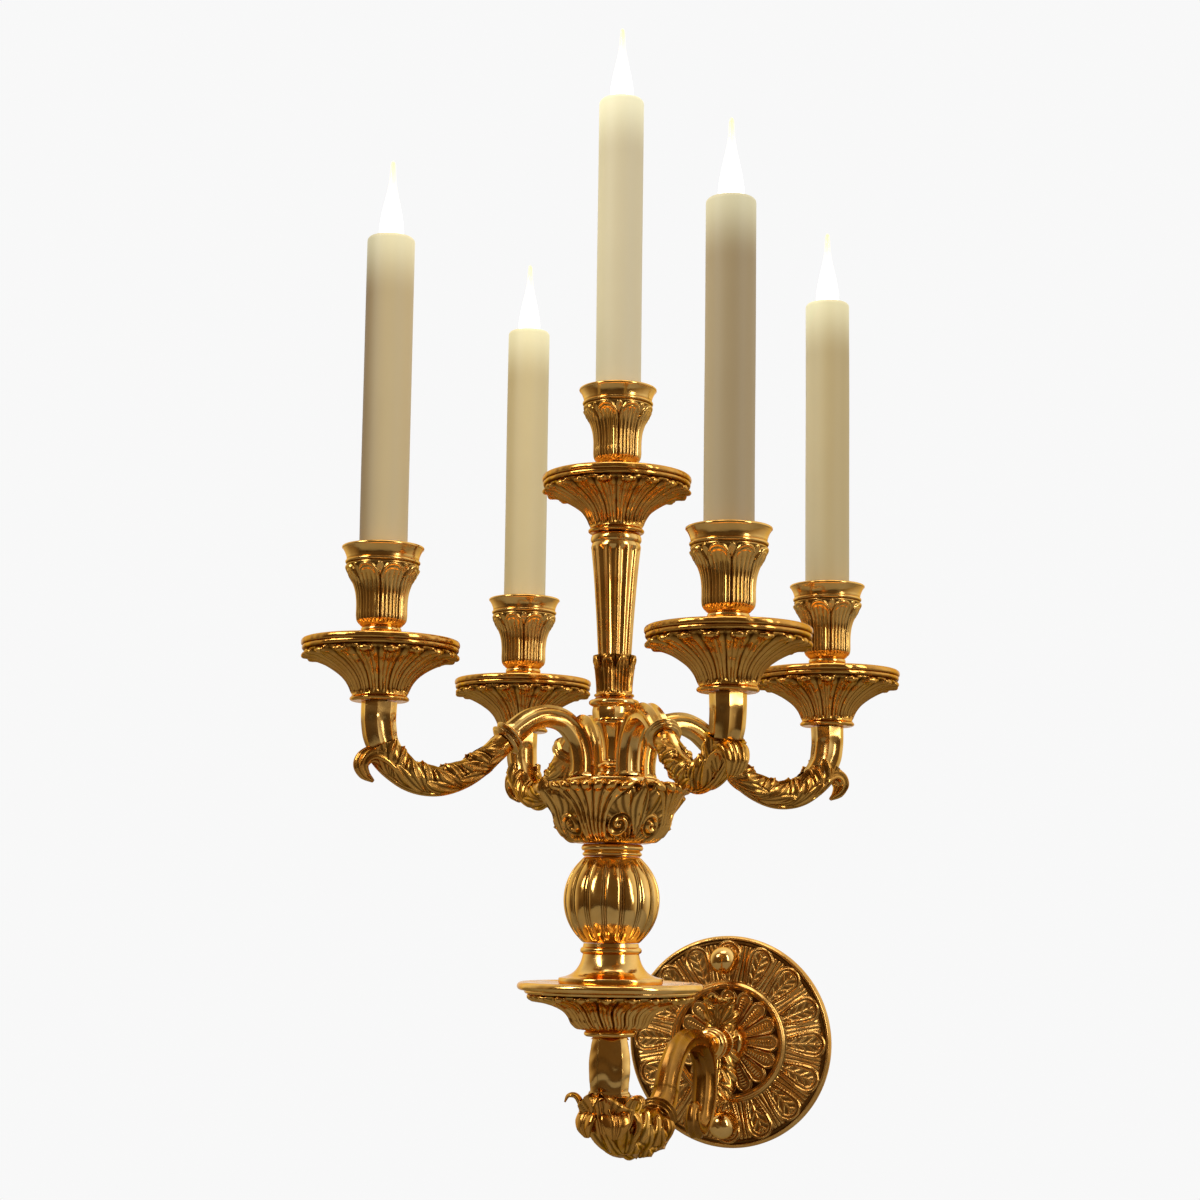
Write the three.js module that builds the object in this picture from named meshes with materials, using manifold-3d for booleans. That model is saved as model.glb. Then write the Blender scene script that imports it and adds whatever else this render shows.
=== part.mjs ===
// Five-light wall sconce of gilt metal with candle sleeves and flame bulbs.
// Millimetres, +Z up. The origin is the centre of the wall plate's back face,
// the wall lies at y = 0 and the front of the sconce faces -Y.

import * as THREE from 'three';
import { mergeVertices } from 'three/addons/utils/BufferGeometryUtils.js';
import Module from 'manifold-3d';

const wasm = await Module();
wasm.setup();

// Driving sizes of the whole sconce
const STEM_REACH = 205;
const BRANCH_REACH = 126.5;
const BRANCH_SEAT_HEIGHT = 176;
const COLUMN_SEAT_HEIGHT = 270.8;
const POST_FOOT_HEIGHT = -17;

// Fits shared by all pieces
const CLEARANCE = 0.3;
const OVERRUN = 2;
const FINEST_EDGE = 0.03;

// Centre tube, nipples and their bores
const TUBE_RADIUS = 4.5;
const TUBE_WALL = 1.2;
const NIPPLE_DEPTH = 10;
const BORE_RADIUS = TUBE_RADIUS + CLEARANCE;

// Wall plate with its two fixings
const PLATE_RADIUS = 62.3;
const PLATE_THICKNESS = 8;
const PLATE_PETALS = 16;
const PLATE_STEPS_PER_PETAL = 2;
const STUD_SPACING = 96;
const STUD_RADIUS = 2.5;
const STUD_LENGTH = 17;
const BALL_NUT_RADIUS = 8;
const BALL_NUT_COLLAR_RADIUS = 5.6;
const BALL_NUT_COLLAR_HEIGHT = 2.4;
const NUT_SEAT_DEPTH = 5;
const NUT_SEAT_RADIUS = 7;

// Bracket between the wall plate and the stem
const BOSS_RADIUS = 8.5;
const BOSS_FLANGE_RADIUS = 10.5;
const BOSS_FLANGE_LENGTH = 5;
const BRACKET_RADIUS = 11;
const BRACKET_LEAF_THICKNESS = 2.6;
const BACK_LEAF_RADIUS = 8;
const BACK_LEAF_THICKNESS = 2;
const BACK_LEAF_STRIPS = 4;

// Stem between the bracket and the basket
const POST_RADIUS = 11.8;
const POST_HEIGHT = 29.5;
const POST_TENON_RADIUS = 7;
const POST_TENON_LENGTH = 6;
const LOWER_PAN_RADIUS = 47.6;
const LOWER_PAN_THICKNESS = 4.6;
const LOWER_LEAF_HEIGHT = 22.4;
const LOWER_LEAF_RADIUS = 42.5;
const LOWER_LEAVES = 20;
const BASE_HEIGHT = 20.4;
const BASE_RADIUS = 26.5;
const MELON_RADIUS = 24.9;
const MELON_HEIGHT = 43.4;
const MELON_RIBS = 16;
const NECK_RING_RADIUS = 15.9;
const NECK_RING_HEIGHT = 6.2;

// Basket, its lid and the upper column
const BASKET_RADIUS = 38.3;
const BASKET_HEIGHT = 30;
const BASKET_LEAVES = 8;
const BASKET_WALL = 2.8;
const LID_RADIUS = 24.3;
const LID_THICKNESS = 4.4;
const LID_NUT_RADIUS = 8.4;
const LID_NUT_HEIGHT = 9.2;
const VASE_RADIUS = 10.6;
const VASE_HEIGHT = 19.6;
const DRUM_RADIUS = 13;
const DRUM_HEIGHT = 11.8;
const LEAF_CUP_RADIUS = 11.8;
const LEAF_CUP_HEIGHT = 21.4;
const LEAF_CUP_LEAVES = 8;
const COLUMN_RADIUS = 13.2;
const COLUMN_FLUTES = 14;
const COLUMN_FOOT_RADIUS = 8.5;
const COLUMN_TENON = 5;

// Branch arms with their leaves
const BRANCH_RADIUS = 8.7;
const BRANCH_TENON_RADIUS = 3.4;
const BRANCH_TENON_LENGTH = 7;
const BRANCH_FOOT_INSET = 6.7;
const BRANCH_LEAF_THICKNESS = 1.2;
const ARM_SIDES = 8;
const LEAF_STRIPS = 6;
const SHEATH_STRIPS = 8;
const HOOK_SIDES = 6;

// Drip pan, socket, candle sleeve, lampholder and bulb of each light
const PAN_RADIUS = 39;
const PAN_HEIGHT = 30.2;
const PAN_LEAVES = 18;
const PAN_DISH_DEPTH = 3;
const PAN_RIM = 3.5;
const SOCKET_RADIUS = 20.4;
const SOCKET_HEIGHT = 49.6;
const SOCKET_LEAVES = 8;
const SOCKET_FLOOR = 34;
const SLEEVE_RADIUS = 12;
const SLEEVE_WALL = 1.3;
const SLEEVE_ABOVE_SOCKET = 156.5;
const SLEEVE_EDGE = 1.2;
const HOLDER_FLANGE_RADIUS = 9;
const HOLDER_FLANGE_HEIGHT = 2.5;
const HOLDER_CUP_RADIUS = 10;
const HOLDER_CUP_HEIGHT = 30;
const HOLDER_TOP_DEPTH = 3;
const BULB_RADIUS = 7.2;
const BULB_FLAME_HEIGHT = 41;
const BULB_CAP_RADIUS = 6.8;
const BULB_CAP_HEIGHT = 20;

// Sides of the turned pieces
const BORE_SIDES = 8;
const BULB_SIDES = 10;
const SLEEVE_SIDES = 16;
const SMALL_SIDES = 16;
const RING_SIDES = 20;
const LARGE_SIDES = 24;

// Finishes
const gilt = new THREE.MeshStandardMaterial({ color: 0xc9973a, roughness: 0.3, metalness: 1 });
const darkGilt = new THREE.MeshStandardMaterial({ color: 0xa06c22, roughness: 0.4, metalness: 1 });
const steel = new THREE.MeshStandardMaterial({ color: 0xa5a5a5, roughness: 0.4, metalness: 1 });
const ivory = new THREE.MeshStandardMaterial({ color: 0xe6dcb4, roughness: 0.55, metalness: 0 });
const porcelain = new THREE.MeshStandardMaterial({ color: 0xefece2, roughness: 0.4, metalness: 0 });
const glowingGlass = new THREE.MeshStandardMaterial({ color: 0xfff6e0, roughness: 0.2, metalness: 0 });

const sconce = new THREE.Group();

// Adds one named piece to its group
function piece(name, geometry, material, group = sconce) {
  const mesh = new THREE.Mesh(geometry, material);
  mesh.name = name;
  group.add(mesh);
  return mesh;
}

// Joins rings of equal point counts into one closed surface.
// Each ring runs counter-clockwise seen against the direction of travel.
function loft(rings, ends) {
  const size = rings[0].length;
  const points = rings.flat();
  const faces = [];
  const spans = ends === 'loop' ? rings.length : rings.length - 1;
  for (let i = 0; i < spans; i += 1) {
    const here = i * size;
    const next = ((i + 1) % rings.length) * size;
    for (let j = 0; j < size; j += 1) {
      const k = (j + 1) % size;
      faces.push(here + j, here + k, next + k);
      faces.push(here + j, next + k, next + j);
    }
  }
  const last = (rings.length - 1) * size;
  if (ends === 'fan') {
    const start = points.push(centreOf(rings[0])) - 1;
    const finish = points.push(centreOf(rings[rings.length - 1])) - 1;
    for (let j = 0; j < size; j += 1) {
      const k = (j + 1) % size;
      faces.push(start, k, j);
      faces.push(finish, last + j, last + k);
    }
  }
  if (ends === 'strip') {
    for (let j = 0; j < size / 2 - 1; j += 1) {
      const far = size - 1 - j;
      faces.push(j, far, far - 1);
      faces.push(j, far - 1, j + 1);
      faces.push(last + j, last + far - 1, last + far);
      faces.push(last + j, last + j + 1, last + far - 1);
    }
  }
  const geometry = new THREE.BufferGeometry().setFromPoints(points);
  geometry.setIndex(faces);
  geometry.computeVertexNormals();
  return geometry;
}

function centreOf(ring) {
  const sum = new THREE.Vector3();
  ring.forEach((point) => sum.add(point));
  return sum.divideScalar(ring.length);
}

// Turns a closed profile round Z. A row is [radius, height, flute share];
// the flute share is how deep the valley is as a share of that radius.
function turned(rows, sides, flutes = 0, ends = 'loop') {
  const rings = rows.map(([radius, height, depthShare = 0]) => {
    const ring = [];
    for (let j = 0; j < sides; j += 1) {
      const angle = (2 * Math.PI * j) / sides;
      const valley = (1 - Math.cos(flutes * angle)) / 2;
      const reach = radius * (1 - depthShare * valley);
      ring.push(new THREE.Vector3(reach * Math.cos(angle), reach * Math.sin(angle), height));
    }
    return ring;
  });
  return loft(rings, ends);
}

// A turned piece with a plain round bore from end to end
function boredTurning(rows, sides, flutes = 0) {
  const heights = rows.map(([, height]) => height);
  const bore = rod(BORE_RADIUS, Math.min(...heights) - OVERRUN, Math.max(...heights) + OVERRUN);
  return cut(turned(rows, sides, flutes, 'fan'), bore);
}

// Real rows from shares of a radius and a height
function scaled(shares, radius, height) {
  return shares.map(([radiusShare, heightShare, depthShare]) => [
    radiusShare * radius,
    heightShare * height,
    depthShare,
  ]);
}

// Solid booleans
function toSolid(geometry) {
  const bare = geometry.clone();
  bare.deleteAttribute('normal');
  bare.deleteAttribute('uv');
  const welded = mergeVertices(bare);
  return new wasm.Manifold(new wasm.Mesh({
    numProp: 3,
    vertProperties: new Float32Array(welded.attributes.position.array),
    triVerts: new Uint32Array(welded.index.array),
  }));
}

function toGeometry(solid) {
  const mesh = solid.getMesh();
  const geometry = new THREE.BufferGeometry();
  const places = new Float32Array(mesh.vertProperties);
  geometry.setAttribute('position', new THREE.BufferAttribute(places, 3));
  geometry.setIndex(new THREE.BufferAttribute(new Uint32Array(mesh.triVerts), 1));
  geometry.computeVertexNormals();
  return geometry;
}

function cut(geometry, ...tools) {
  const solid = tools.reduce((left, tool) => left.subtract(toSolid(tool)), toSolid(geometry));
  return toGeometry(solid);
}

function fused(...geometries) {
  const whole = geometries.map(toSolid).reduce((left, right) => left.add(right));
  return toGeometry(whole.simplify(FINEST_EDGE));
}

// An upright rod between two heights at (x, y)
function rod(radius, bottom, top, x = 0, y = 0, sides = BORE_SIDES) {
  const geometry = new THREE.CylinderGeometry(radius, radius, top - bottom, sides);
  geometry.rotateX(Math.PI / 2);
  geometry.translate(x, y, (top + bottom) / 2);
  return geometry;
}

// Flat path in the XZ plane through [across, up] points
function curveThrough(points) {
  const places = points.map(([across, up]) => new THREE.Vector3(across, 0, up));
  return new THREE.CatmullRomCurve3(places, false, 'centripetal');
}

function flatCurve(shares, length) {
  return curveThrough(shares.map(([acrossShare, upShare]) => [acrossShare * length, upShare * length]));
}

// Centre, outward normal and side direction at a share of a flat path
function station(curve, share) {
  const centre = curve.getPointAt(share);
  const tangent = curve.getTangentAt(share);
  const side = new THREE.Vector3(0, 1, 0);
  const normal = side.clone().cross(tangent).normalize();
  return { centre, tangent, normal, side };
}

function around(frame, radius, angle) {
  return frame.centre.clone()
    .addScaledVector(frame.normal, radius * Math.cos(angle))
    .addScaledVector(frame.side, radius * Math.sin(angle));
}

// Eight-sided arm. Stations are [path share, radius share].
// The swelling is an allowance all round, for cutting what lies on the arm.
function facetedArm(curve, stations, radius, swelling = 0) {
  const rings = stations.map(([share, radiusShare]) => {
    const frame = station(curve, share);
    const ring = [];
    for (let j = 0; j < ARM_SIDES; j += 1) {
      const angle = (Math.PI * (2 * j + 1)) / ARM_SIDES;
      ring.push(around(frame, radius * radiusShare + swelling, angle));
    }
    return ring;
  });
  return loft(rings, 'fan');
}

// A leaf that wraps the outside of a curved arm, with a ribbed face. Stations
// are [path share, lift share, half-angle share of a half turn].
function wrappedLeaf(curve, stations, seatRadius, thickness, across) {
  const rings = stations.map(([share, liftShare, spreadShare]) => {
    const frame = station(curve, share);
    const halfStep = (spreadShare * Math.PI) / across;
    const inner = (seatRadius(share) / Math.cos(halfStep)) * (1 + liftShare) + 2 * CLEARANCE;
    const outer = [];
    const back = [];
    for (let k = 0; k <= across; k += 1) {
      const angle = 2 * halfStep * (k - across / 2);
      const rib = k % 2 === 1 ? thickness / 2 : 0;
      outer.push(around(frame, inner + thickness + rib, angle));
      back.push(around(frame, inner, angle));
    }
    return [...outer, ...back.reverse()];
  });
  return loft(rings, 'strip');
}

// Wall plate: rim, ring of sprigs, raised ring and rosette, as [radius share, relief share, wave share]
const plateShares = [
  [1, 0, 0],
  [1, 0.55, 0],
  [0.96, 0.75, 0],
  [0.88, 0.52, 0.14],
  [0.74, 0.55, 0.3],
  [0.61, 0.5, 0.12],
  [0.57, 0.8, 0],
  [0.52, 0.8, 0],
  [0.46, 0.58, 0.26],
  [0.32, 0.62, 0.34],
  [0.2, 0.6, 0.16],
];

function wallPlate() {
  const sides = PLATE_PETALS * PLATE_STEPS_PER_PETAL;
  const rings = plateShares.map(([radiusShare, reliefShare, waveShare]) => {
    const ring = [];
    for (let j = 0; j < sides; j += 1) {
      const angle = (2 * Math.PI * j) / sides;
      const wave = Math.cos(PLATE_PETALS * angle);
      const reach = radiusShare * PLATE_RADIUS;
      const relief = (reliefShare + waveShare * wave) * PLATE_THICKNESS;
      ring.push(new THREE.Vector3(reach * Math.cos(angle), -relief, reach * Math.sin(angle)));
    }
    return ring;
  });
  const holes = [-1, 1].flatMap((sign) => {
    const hole = rod(STUD_RADIUS + CLEARANCE, -OVERRUN, PLATE_THICKNESS + OVERRUN);
    const seat = rod(NUT_SEAT_RADIUS, NUT_SEAT_DEPTH, PLATE_THICKNESS + OVERRUN);
    return [hole, seat].map((tool) => {
      tool.rotateX(Math.PI / 2);
      tool.translate(0, 0, (sign * STUD_SPACING) / 2);
      return tool;
    });
  });
  return cut(loft(rings, 'fan'), ...holes);
}

piece('wall_plate', wallPlate(), gilt);

// Stud and ball nut, turned about an axis that points out of the wall
const ballNutShares = [
  [0.7, 0],
  [0.7, 0.13],
  [0.45, 0.15],
  [0.55, 0.2],
  [0.86, 0.32],
  [1, 0.56],
  [0.86, 0.8],
  [0.5, 0.95],
];

function ballNut() {
  const height = BALL_NUT_COLLAR_HEIGHT + 2 * BALL_NUT_RADIUS;
  const rows = scaled(ballNutShares, BALL_NUT_RADIUS, height);
  rows[0][0] = BALL_NUT_COLLAR_RADIUS;
  rows[1][0] = BALL_NUT_COLLAR_RADIUS;
  const profile = [[0, 0], ...rows, [0, height]].map(([radius, up]) => new THREE.Vector2(radius, up));
  const ball = new THREE.LatheGeometry(profile, BORE_SIDES);
  ball.rotateX(Math.PI / 2);
  const bore = STUD_RADIUS + CLEARANCE;
  const depth = STUD_LENGTH - NUT_SEAT_DEPTH;
  return cut(ball, rod(bore, -OVERRUN, depth + CLEARANCE));
}

[['upper', 1], ['lower', -1]].forEach(([place, sign]) => {
  const fixing = new THREE.Group();
  fixing.position.z = (sign * STUD_SPACING) / 2;
  fixing.rotation.x = Math.PI / 2;
  const nut = piece(`ball_nut_${place}`, ballNut(), gilt, fixing);
  nut.position.z = NUT_SEAT_DEPTH + CLEARANCE;
  const stud = rod(STUD_RADIUS, 0, STUD_LENGTH);
  piece(`wall_stud_${place}`, stud, steel, fixing);
  sconce.add(fixing);
});

// Bracket arm in its own frame: X runs from the stem axis to the wall, Z up
const bracket = new THREE.Group();
bracket.position.y = -STEM_REACH;
bracket.rotation.z = Math.PI / 2;
sconce.add(bracket);

const bracketPathShares = [
  [0, (POST_FOOT_HEIGHT + BRACKET_RADIUS / 4) / STEM_REACH],
  [0, -0.105],
  [0.04, -0.147],
  [0.127, -0.176],
  [0.224, -0.188],
  [0.33, -0.172],
  [0.408, -0.125],
  [0.456, -0.052],
  [0.527, 0.005],
  [0.624, 0.022],
  [0.715, 0],
  [0.76, -0.06],
  [0.756, -0.146],
  [0.727, -0.208],
  [0.683, -0.225],
  [0.653, -0.197],
  [0.664, -0.164],
  [0.69, -0.168],
];
const bracketCurve = flatCurve(bracketPathShares, STEM_REACH);
const bracketStationShares = [
  [0, 0.95],
  [0.038, 0.92],
  [0.075, 0.9],
  [0.113, 0.9],
  [0.151, 0.9],
  [0.198, 0.88],
  [0.245, 0.85],
  [0.278, 0.81],
  [0.311, 0.78],
  [0.33, 0.95],
  [0.354, 0.95],
  [0.368, 0.68],
  [0.424, 0.62],
  [0.49, 0.58],
  [0.557, 0.58],
  [0.623, 0.6],
  [0.689, 0.62],
  [0.755, 0.64],
  [0.82, 0.64],
  [0.865, 0.58],
  [0.9, 0.52],
  [0.93, 0.44],
  [0.965, 0.36],
  [1, 0.3],
];

// Reads a table of stations between its rows
function radiusAlong(stations, radius) {
  return (share) => {
    const after = stations.findIndex(([place]) => place >= share);
    if (after <= 0) return radius * stations[0][1];
    const [fromPlace, fromShare] = stations[after - 1];
    const [toPlace, toShare] = stations[after];
    const blend = (share - fromPlace) / (toPlace - fromPlace);
    return radius * (fromShare + blend * (toShare - fromShare));
  };
}

const bracketArm = cut(
  facetedArm(bracketCurve, bracketStationShares, BRACKET_RADIUS),
  rod(2 * BRACKET_RADIUS, POST_FOOT_HEIGHT, 0),
  rod(
    POST_TENON_RADIUS + CLEARANCE,
    POST_FOOT_HEIGHT - POST_TENON_LENGTH - CLEARANCE,
    POST_FOOT_HEIGHT + OVERRUN,
    0,
    0,
    2 * BORE_SIDES,
  ),
);
piece('bracket_arm', bracketArm, gilt, bracket);

// Acanthus leaf round the lower bend of the bracket
const elbowLeafShares = [
  [0.002, 1.75, 0.05],
  [0.006, 1.3, 0.09],
  [0.014, 0.7, 0.2],
  [0.028, 0.3, 0.42],
  [0.047, 0.12, 0.72],
  [0.08, 0.2, 0.58],
  [0.113, 0.1, 0.78],
  [0.146, 0.18, 0.6],
  [0.179, 0.08, 0.76],
  [0.212, 0.14, 0.56],
  [0.245, 0.12, 0.6],
  [0.269, 0.14, 0.44],
  [0.288, 0.08, 0.5],
  [0.306, 0.02, 0.3],
];

function elbowLeaf() {
  return wrappedLeaf(
    bracketCurve,
    elbowLeafShares,
    radiusAlong(bracketStationShares, BRACKET_RADIUS),
    BRACKET_LEAF_THICKNESS,
    LEAF_STRIPS,
  );
}

piece('bracket_elbow_leaf', elbowLeaf(), darkGilt, bracket);

// Boss that ties the bracket to the wall plate. It runs from the rosette's
// centre to the upright limb of the arm, whose faces it is fitted to.
const [, rosetteRelief, rosetteWave] = plateShares[plateShares.length - 1];
const rosetteFront = PLATE_THICKNESS * (rosetteRelief + rosetteWave);
const bossBack = rosetteFront + CLEARANCE;
const limbShare = Math.max(...bracketPathShares.map(([acrossShare]) => acrossShare));
const limbReach = STEM_REACH * (1 - limbShare);

function rodOutOfWall(rows, sides) {
  const profile = rows.map(([radius, reach]) => new THREE.Vector2(radius, reach));
  const turnedRod = new THREE.LatheGeometry(profile, sides);
  turnedRod.rotateZ(Math.PI / 2);
  turnedRod.translate(STEM_REACH, 0, 0);
  return turnedRod;
}

function boss() {
  const body = rodOutOfWall([
    [0, bossBack],
    [BOSS_FLANGE_RADIUS, bossBack],
    [BOSS_FLANGE_RADIUS, bossBack + BOSS_FLANGE_LENGTH],
    [BOSS_RADIUS, bossBack + BOSS_FLANGE_LENGTH],
    [BOSS_RADIUS, limbReach],
    [0, limbReach],
  ], 2 * BORE_SIDES);
  return cut(body, facetedArm(bracketCurve, bracketStationShares, BRACKET_RADIUS, CLEARANCE));
}

piece('bracket_boss', boss(), gilt, bracket);

// Upright leaf on the boss, in front of the rosette
const backLeafPathShares = [
  [0.875, 0.175],
  [0.915, 0.13],
  [0.925, 0.05],
  [0.92, -0.05],
  [0.9, -0.13],
  [0.87, -0.2],
];
const backLeafShares = [
  [0, 0, 0.12],
  [0.08, 0, 0.3],
  [0.2, 0, 0.42],
  [0.35, 0, 0.5],
  [0.5, 0, 0.5],
  [0.65, 0, 0.5],
  [0.8, 0, 0.42],
  [0.92, 0, 0.32],
  [1, 0, 0.14],
];

function backLeaf() {
  const leaf = wrappedLeaf(
    flatCurve(backLeafPathShares, STEM_REACH),
    backLeafShares,
    () => BACK_LEAF_RADIUS,
    BACK_LEAF_THICKNESS,
    BACK_LEAF_STRIPS,
  );
  const hole = rodOutOfWall([
    [0, 0],
    [BOSS_RADIUS + CLEARANCE, 0],
    [BOSS_RADIUS + CLEARANCE, limbReach + OVERRUN],
    [0, limbReach + OVERRUN],
  ], 2 * BORE_SIDES);
  return cut(leaf, hole);
}

piece('bracket_back_leaf', backLeaf(), darkGilt, bracket);

// Stem, built upwards: each piece seats on the height where the last one ended
const stem = new THREE.Group();
stem.position.y = -STEM_REACH;
sconce.add(stem);

let seat = POST_FOOT_HEIGHT + CLEARANCE;

function stack(name, geometry, height, material = gilt) {
  const mesh = piece(name, geometry, material, stem);
  mesh.position.z = seat;
  seat += height + CLEARANCE;
  return mesh;
}

// Eight-sided post with hollow faces and a tenon in the bracket
const postShares = [
  [1.02, 0, 0.05],
  [1.02, 0.1, 0.05],
  [0.96, 0.12, 0.13],
  [0.99, 0.3, 0.13],
  [1, 0.5, 0.13],
  [0.99, 0.7, 0.13],
  [0.92, 0.93, 0.13],
  [0.92, 0.96, 0.05],
  [0.98, 1, 0.05],
];

function post() {
  const tenon = [
    [POST_TENON_RADIUS, -POST_TENON_LENGTH],
    [POST_TENON_RADIUS, 0],
  ];
  const rows = scaled(postShares, POST_RADIUS, POST_HEIGHT);
  return boredTurning([...tenon, ...rows], 2 * ARM_SIDES, ARM_SIDES);
}

stack('stem_post', post(), POST_HEIGHT);

// Fluted leaf flare under the lower pan
const lowerLeafShares = [
  [0.3, 0],
  [0.31, 0.1],
  [0.4, 0.18, 0.06],
  [0.5, 0.42, 0.12],
  [0.57, 0.58, 0.12],
  [0.74, 0.75, 0.12],
  [0.97, 0.88, 0.1],
  [1, 0.95, 0.06],
  [0.9, 1],
];

function lowerLeaves() {
  const rows = scaled(lowerLeafShares, LOWER_LEAF_RADIUS, LOWER_LEAF_HEIGHT);
  return boredTurning(rows, 2 * LOWER_LEAVES, LOWER_LEAVES);
}

stack('lower_leaf_flare', lowerLeaves(), LOWER_LEAF_HEIGHT, darkGilt);

const lowerPanShares = [
  [0.97, 0],
  [1, 0.3],
  [1, 0.7],
  [0.97, 1],
  [0.91, 0.76],
  [0.62, 0.7],
];
stack(
  'lower_pan',
  boredTurning(scaled(lowerPanShares, LOWER_PAN_RADIUS, LOWER_PAN_THICKNESS), 2 * SMALL_SIDES),
  LOWER_PAN_THICKNESS * lowerPanShares[lowerPanShares.length - 1][1],
);

// Hollowed foot with the ring under the ball
const baseShares = [
  [1, 0],
  [1, 0.15],
  [0.84, 0.2],
  [0.7, 0.32],
  [0.61, 0.48],
  [0.57, 0.64],
  [0.54, 0.72],
  [0.59, 0.77],
  [0.59, 0.88],
  [0.52, 1],
];
stack(
  'stem_foot',
  boredTurning(scaled(baseShares, BASE_RADIUS, BASE_HEIGHT), LARGE_SIDES),
  BASE_HEIGHT,
);

// Ribbed ball: a globe cut level at both ends, its ribs deepest at the middle
const melonRows = 8;
const melonCutShare = 0.82;
const melonGrooveShare = 0.085;

function melon() {
  const rows = [];
  for (let i = 0; i <= melonRows; i += 1) {
    const up = i / melonRows;
    const bulge = Math.sqrt(1 - (melonCutShare * (2 * up - 1)) ** 2);
    const depthShare = melonGrooveShare * Math.sqrt(Math.sin(Math.PI * up));
    rows.push([MELON_RADIUS * bulge, MELON_HEIGHT * up, depthShare]);
  }
  return boredTurning(rows, 2 * MELON_RIBS, MELON_RIBS);
}

stack('ribbed_ball', melon(), MELON_HEIGHT);

const neckRingShares = [
  [0.9, 0],
  [1, 0.2],
  [1, 0.42],
  [0.93, 0.5],
  [1, 0.58],
  [1, 0.8],
  [0.93, 1],
];
stack(
  'neck_ring',
  boredTurning(scaled(neckRingShares, NECK_RING_RADIUS, NECK_RING_HEIGHT), RING_SIDES),
  NECK_RING_HEIGHT,
);

// Acanthus basket, an open cup under its lid
const basketShares = [
  [0.43, 0, 0],
  [0.64, 0.07, 0.05],
  [0.75, 0.18, 0.09],
  [0.83, 0.36, 0.12],
  [0.88, 0.56, 0.14],
  [0.93, 0.76, 0.16],
  [1, 0.92, 0.2],
  [0.93, 1, 0.18],
  [0.7, 0.96, 0.02],
];

function basket() {
  const outer = scaled(basketShares, BASKET_RADIUS, BASKET_HEIGHT);
  const mouth = LID_RADIUS - BASKET_WALL;
  const inner = [
    [mouth, outer[outer.length - 1][1]],
    [mouth, BASKET_HEIGHT / 2],
    [BORE_RADIUS, BASKET_WALL],
    [BORE_RADIUS, 0],
  ];
  return turned([...outer, ...inner], 4 * BASKET_LEAVES, BASKET_LEAVES);
}

stack('acanthus_basket', basket(), BASKET_HEIGHT * basketShares[basketShares.length - 1][1]);

// Lid with a hole for the foot of each branch
const branchAngles = [
  ['front_left', -Math.PI * 0.75],
  ['front_right', -Math.PI * 0.25],
  ['back_right', Math.PI * 0.25],
  ['back_left', Math.PI * 0.75],
];
const branchFootReach = LID_RADIUS - BRANCH_FOOT_INSET;
const lidTop = seat + LID_THICKNESS;

const lidShares = [
  [0.94, 0],
  [1, 0.25],
  [1, 0.75],
  [0.94, 1],
];

function lid() {
  const disc = boredTurning(scaled(lidShares, LID_RADIUS, LID_THICKNESS), LARGE_SIDES);
  const holes = branchAngles.map(([, angle]) => (
    rod(
      BRANCH_TENON_RADIUS + CLEARANCE,
      -OVERRUN,
      LID_THICKNESS + OVERRUN,
      branchFootReach * Math.cos(angle),
      branchFootReach * Math.sin(angle),
    )
  ));
  return cut(disc, ...holes);
}

stack('basket_lid', lid(), LID_THICKNESS);

const lidNutShares = [
  [1, 0],
  [1, 0.3],
  [0.84, 0.36],
  [0.84, 0.52],
  [0.95, 0.58],
  [0.95, 0.8],
  [0.7, 0.86],
  [0.62, 1],
];
stack(
  'lid_nut',
  boredTurning(scaled(lidNutShares, LID_NUT_RADIUS, LID_NUT_HEIGHT), SMALL_SIDES),
  LID_NUT_HEIGHT,
);

const vaseShares = [
  [0.52, 0],
  [0.55, 0.3],
  [0.68, 0.65],
  [0.9, 0.9],
  [0.9, 1],
];
stack(
  'column_vase',
  boredTurning(scaled(vaseShares, VASE_RADIUS, VASE_HEIGHT), SMALL_SIDES),
  VASE_HEIGHT,
);

const drumShares = [
  [0.84, 0, 0.06],
  [0.84, 0.64, 0.06],
  [0.96, 0.68],
  [1, 0.8],
  [0.96, 0.95],
  [0.72, 1],
];
stack(
  'column_drum',
  boredTurning(scaled(drumShares, DRUM_RADIUS, DRUM_HEIGHT), 2 * ARM_SIDES, ARM_SIDES),
  DRUM_HEIGHT,
);

// Leaf cup that holds the foot of the column
const leafCupShares = [
  [0.8, 0, 0],
  [0.78, 0.1, 0.06],
  [0.82, 0.5, 0.08],
  [0.93, 0.85, 0.08],
  [1, 1, 0.14],
  [0.92, 0.98, 0.08],
];

const columnHeight = COLUMN_SEAT_HEIGHT - seat - (LEAF_CUP_HEIGHT - COLUMN_TENON) - CLEARANCE;
const columnTaper = (COLUMN_RADIUS - COLUMN_FOOT_RADIUS) / columnHeight;

function leafCup() {
  const outer = scaled(leafCupShares, LEAF_CUP_RADIUS, LEAF_CUP_HEIGHT);
  const pocket = COLUMN_FOOT_RADIUS + CLEARANCE;
  const inner = [
    [pocket + COLUMN_TENON * columnTaper, outer[outer.length - 1][1]],
    [pocket, LEAF_CUP_HEIGHT - COLUMN_TENON],
    [BORE_RADIUS, LEAF_CUP_HEIGHT - COLUMN_TENON],
    [BORE_RADIUS, 0],
  ];
  return turned([...outer, ...inner], 2 * LEAF_CUP_LEAVES, LEAF_CUP_LEAVES);
}

const columnShares = [
  [COLUMN_FOOT_RADIUS / COLUMN_RADIUS, 0, 0.1],
  [0.97, 0.93, 0.1],
  [0.97, 0.96, 0.02],
  [1, 0.97],
  [1, 1],
];

stack('column_leaf_cup', leafCup(), LEAF_CUP_HEIGHT - COLUMN_TENON);

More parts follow.
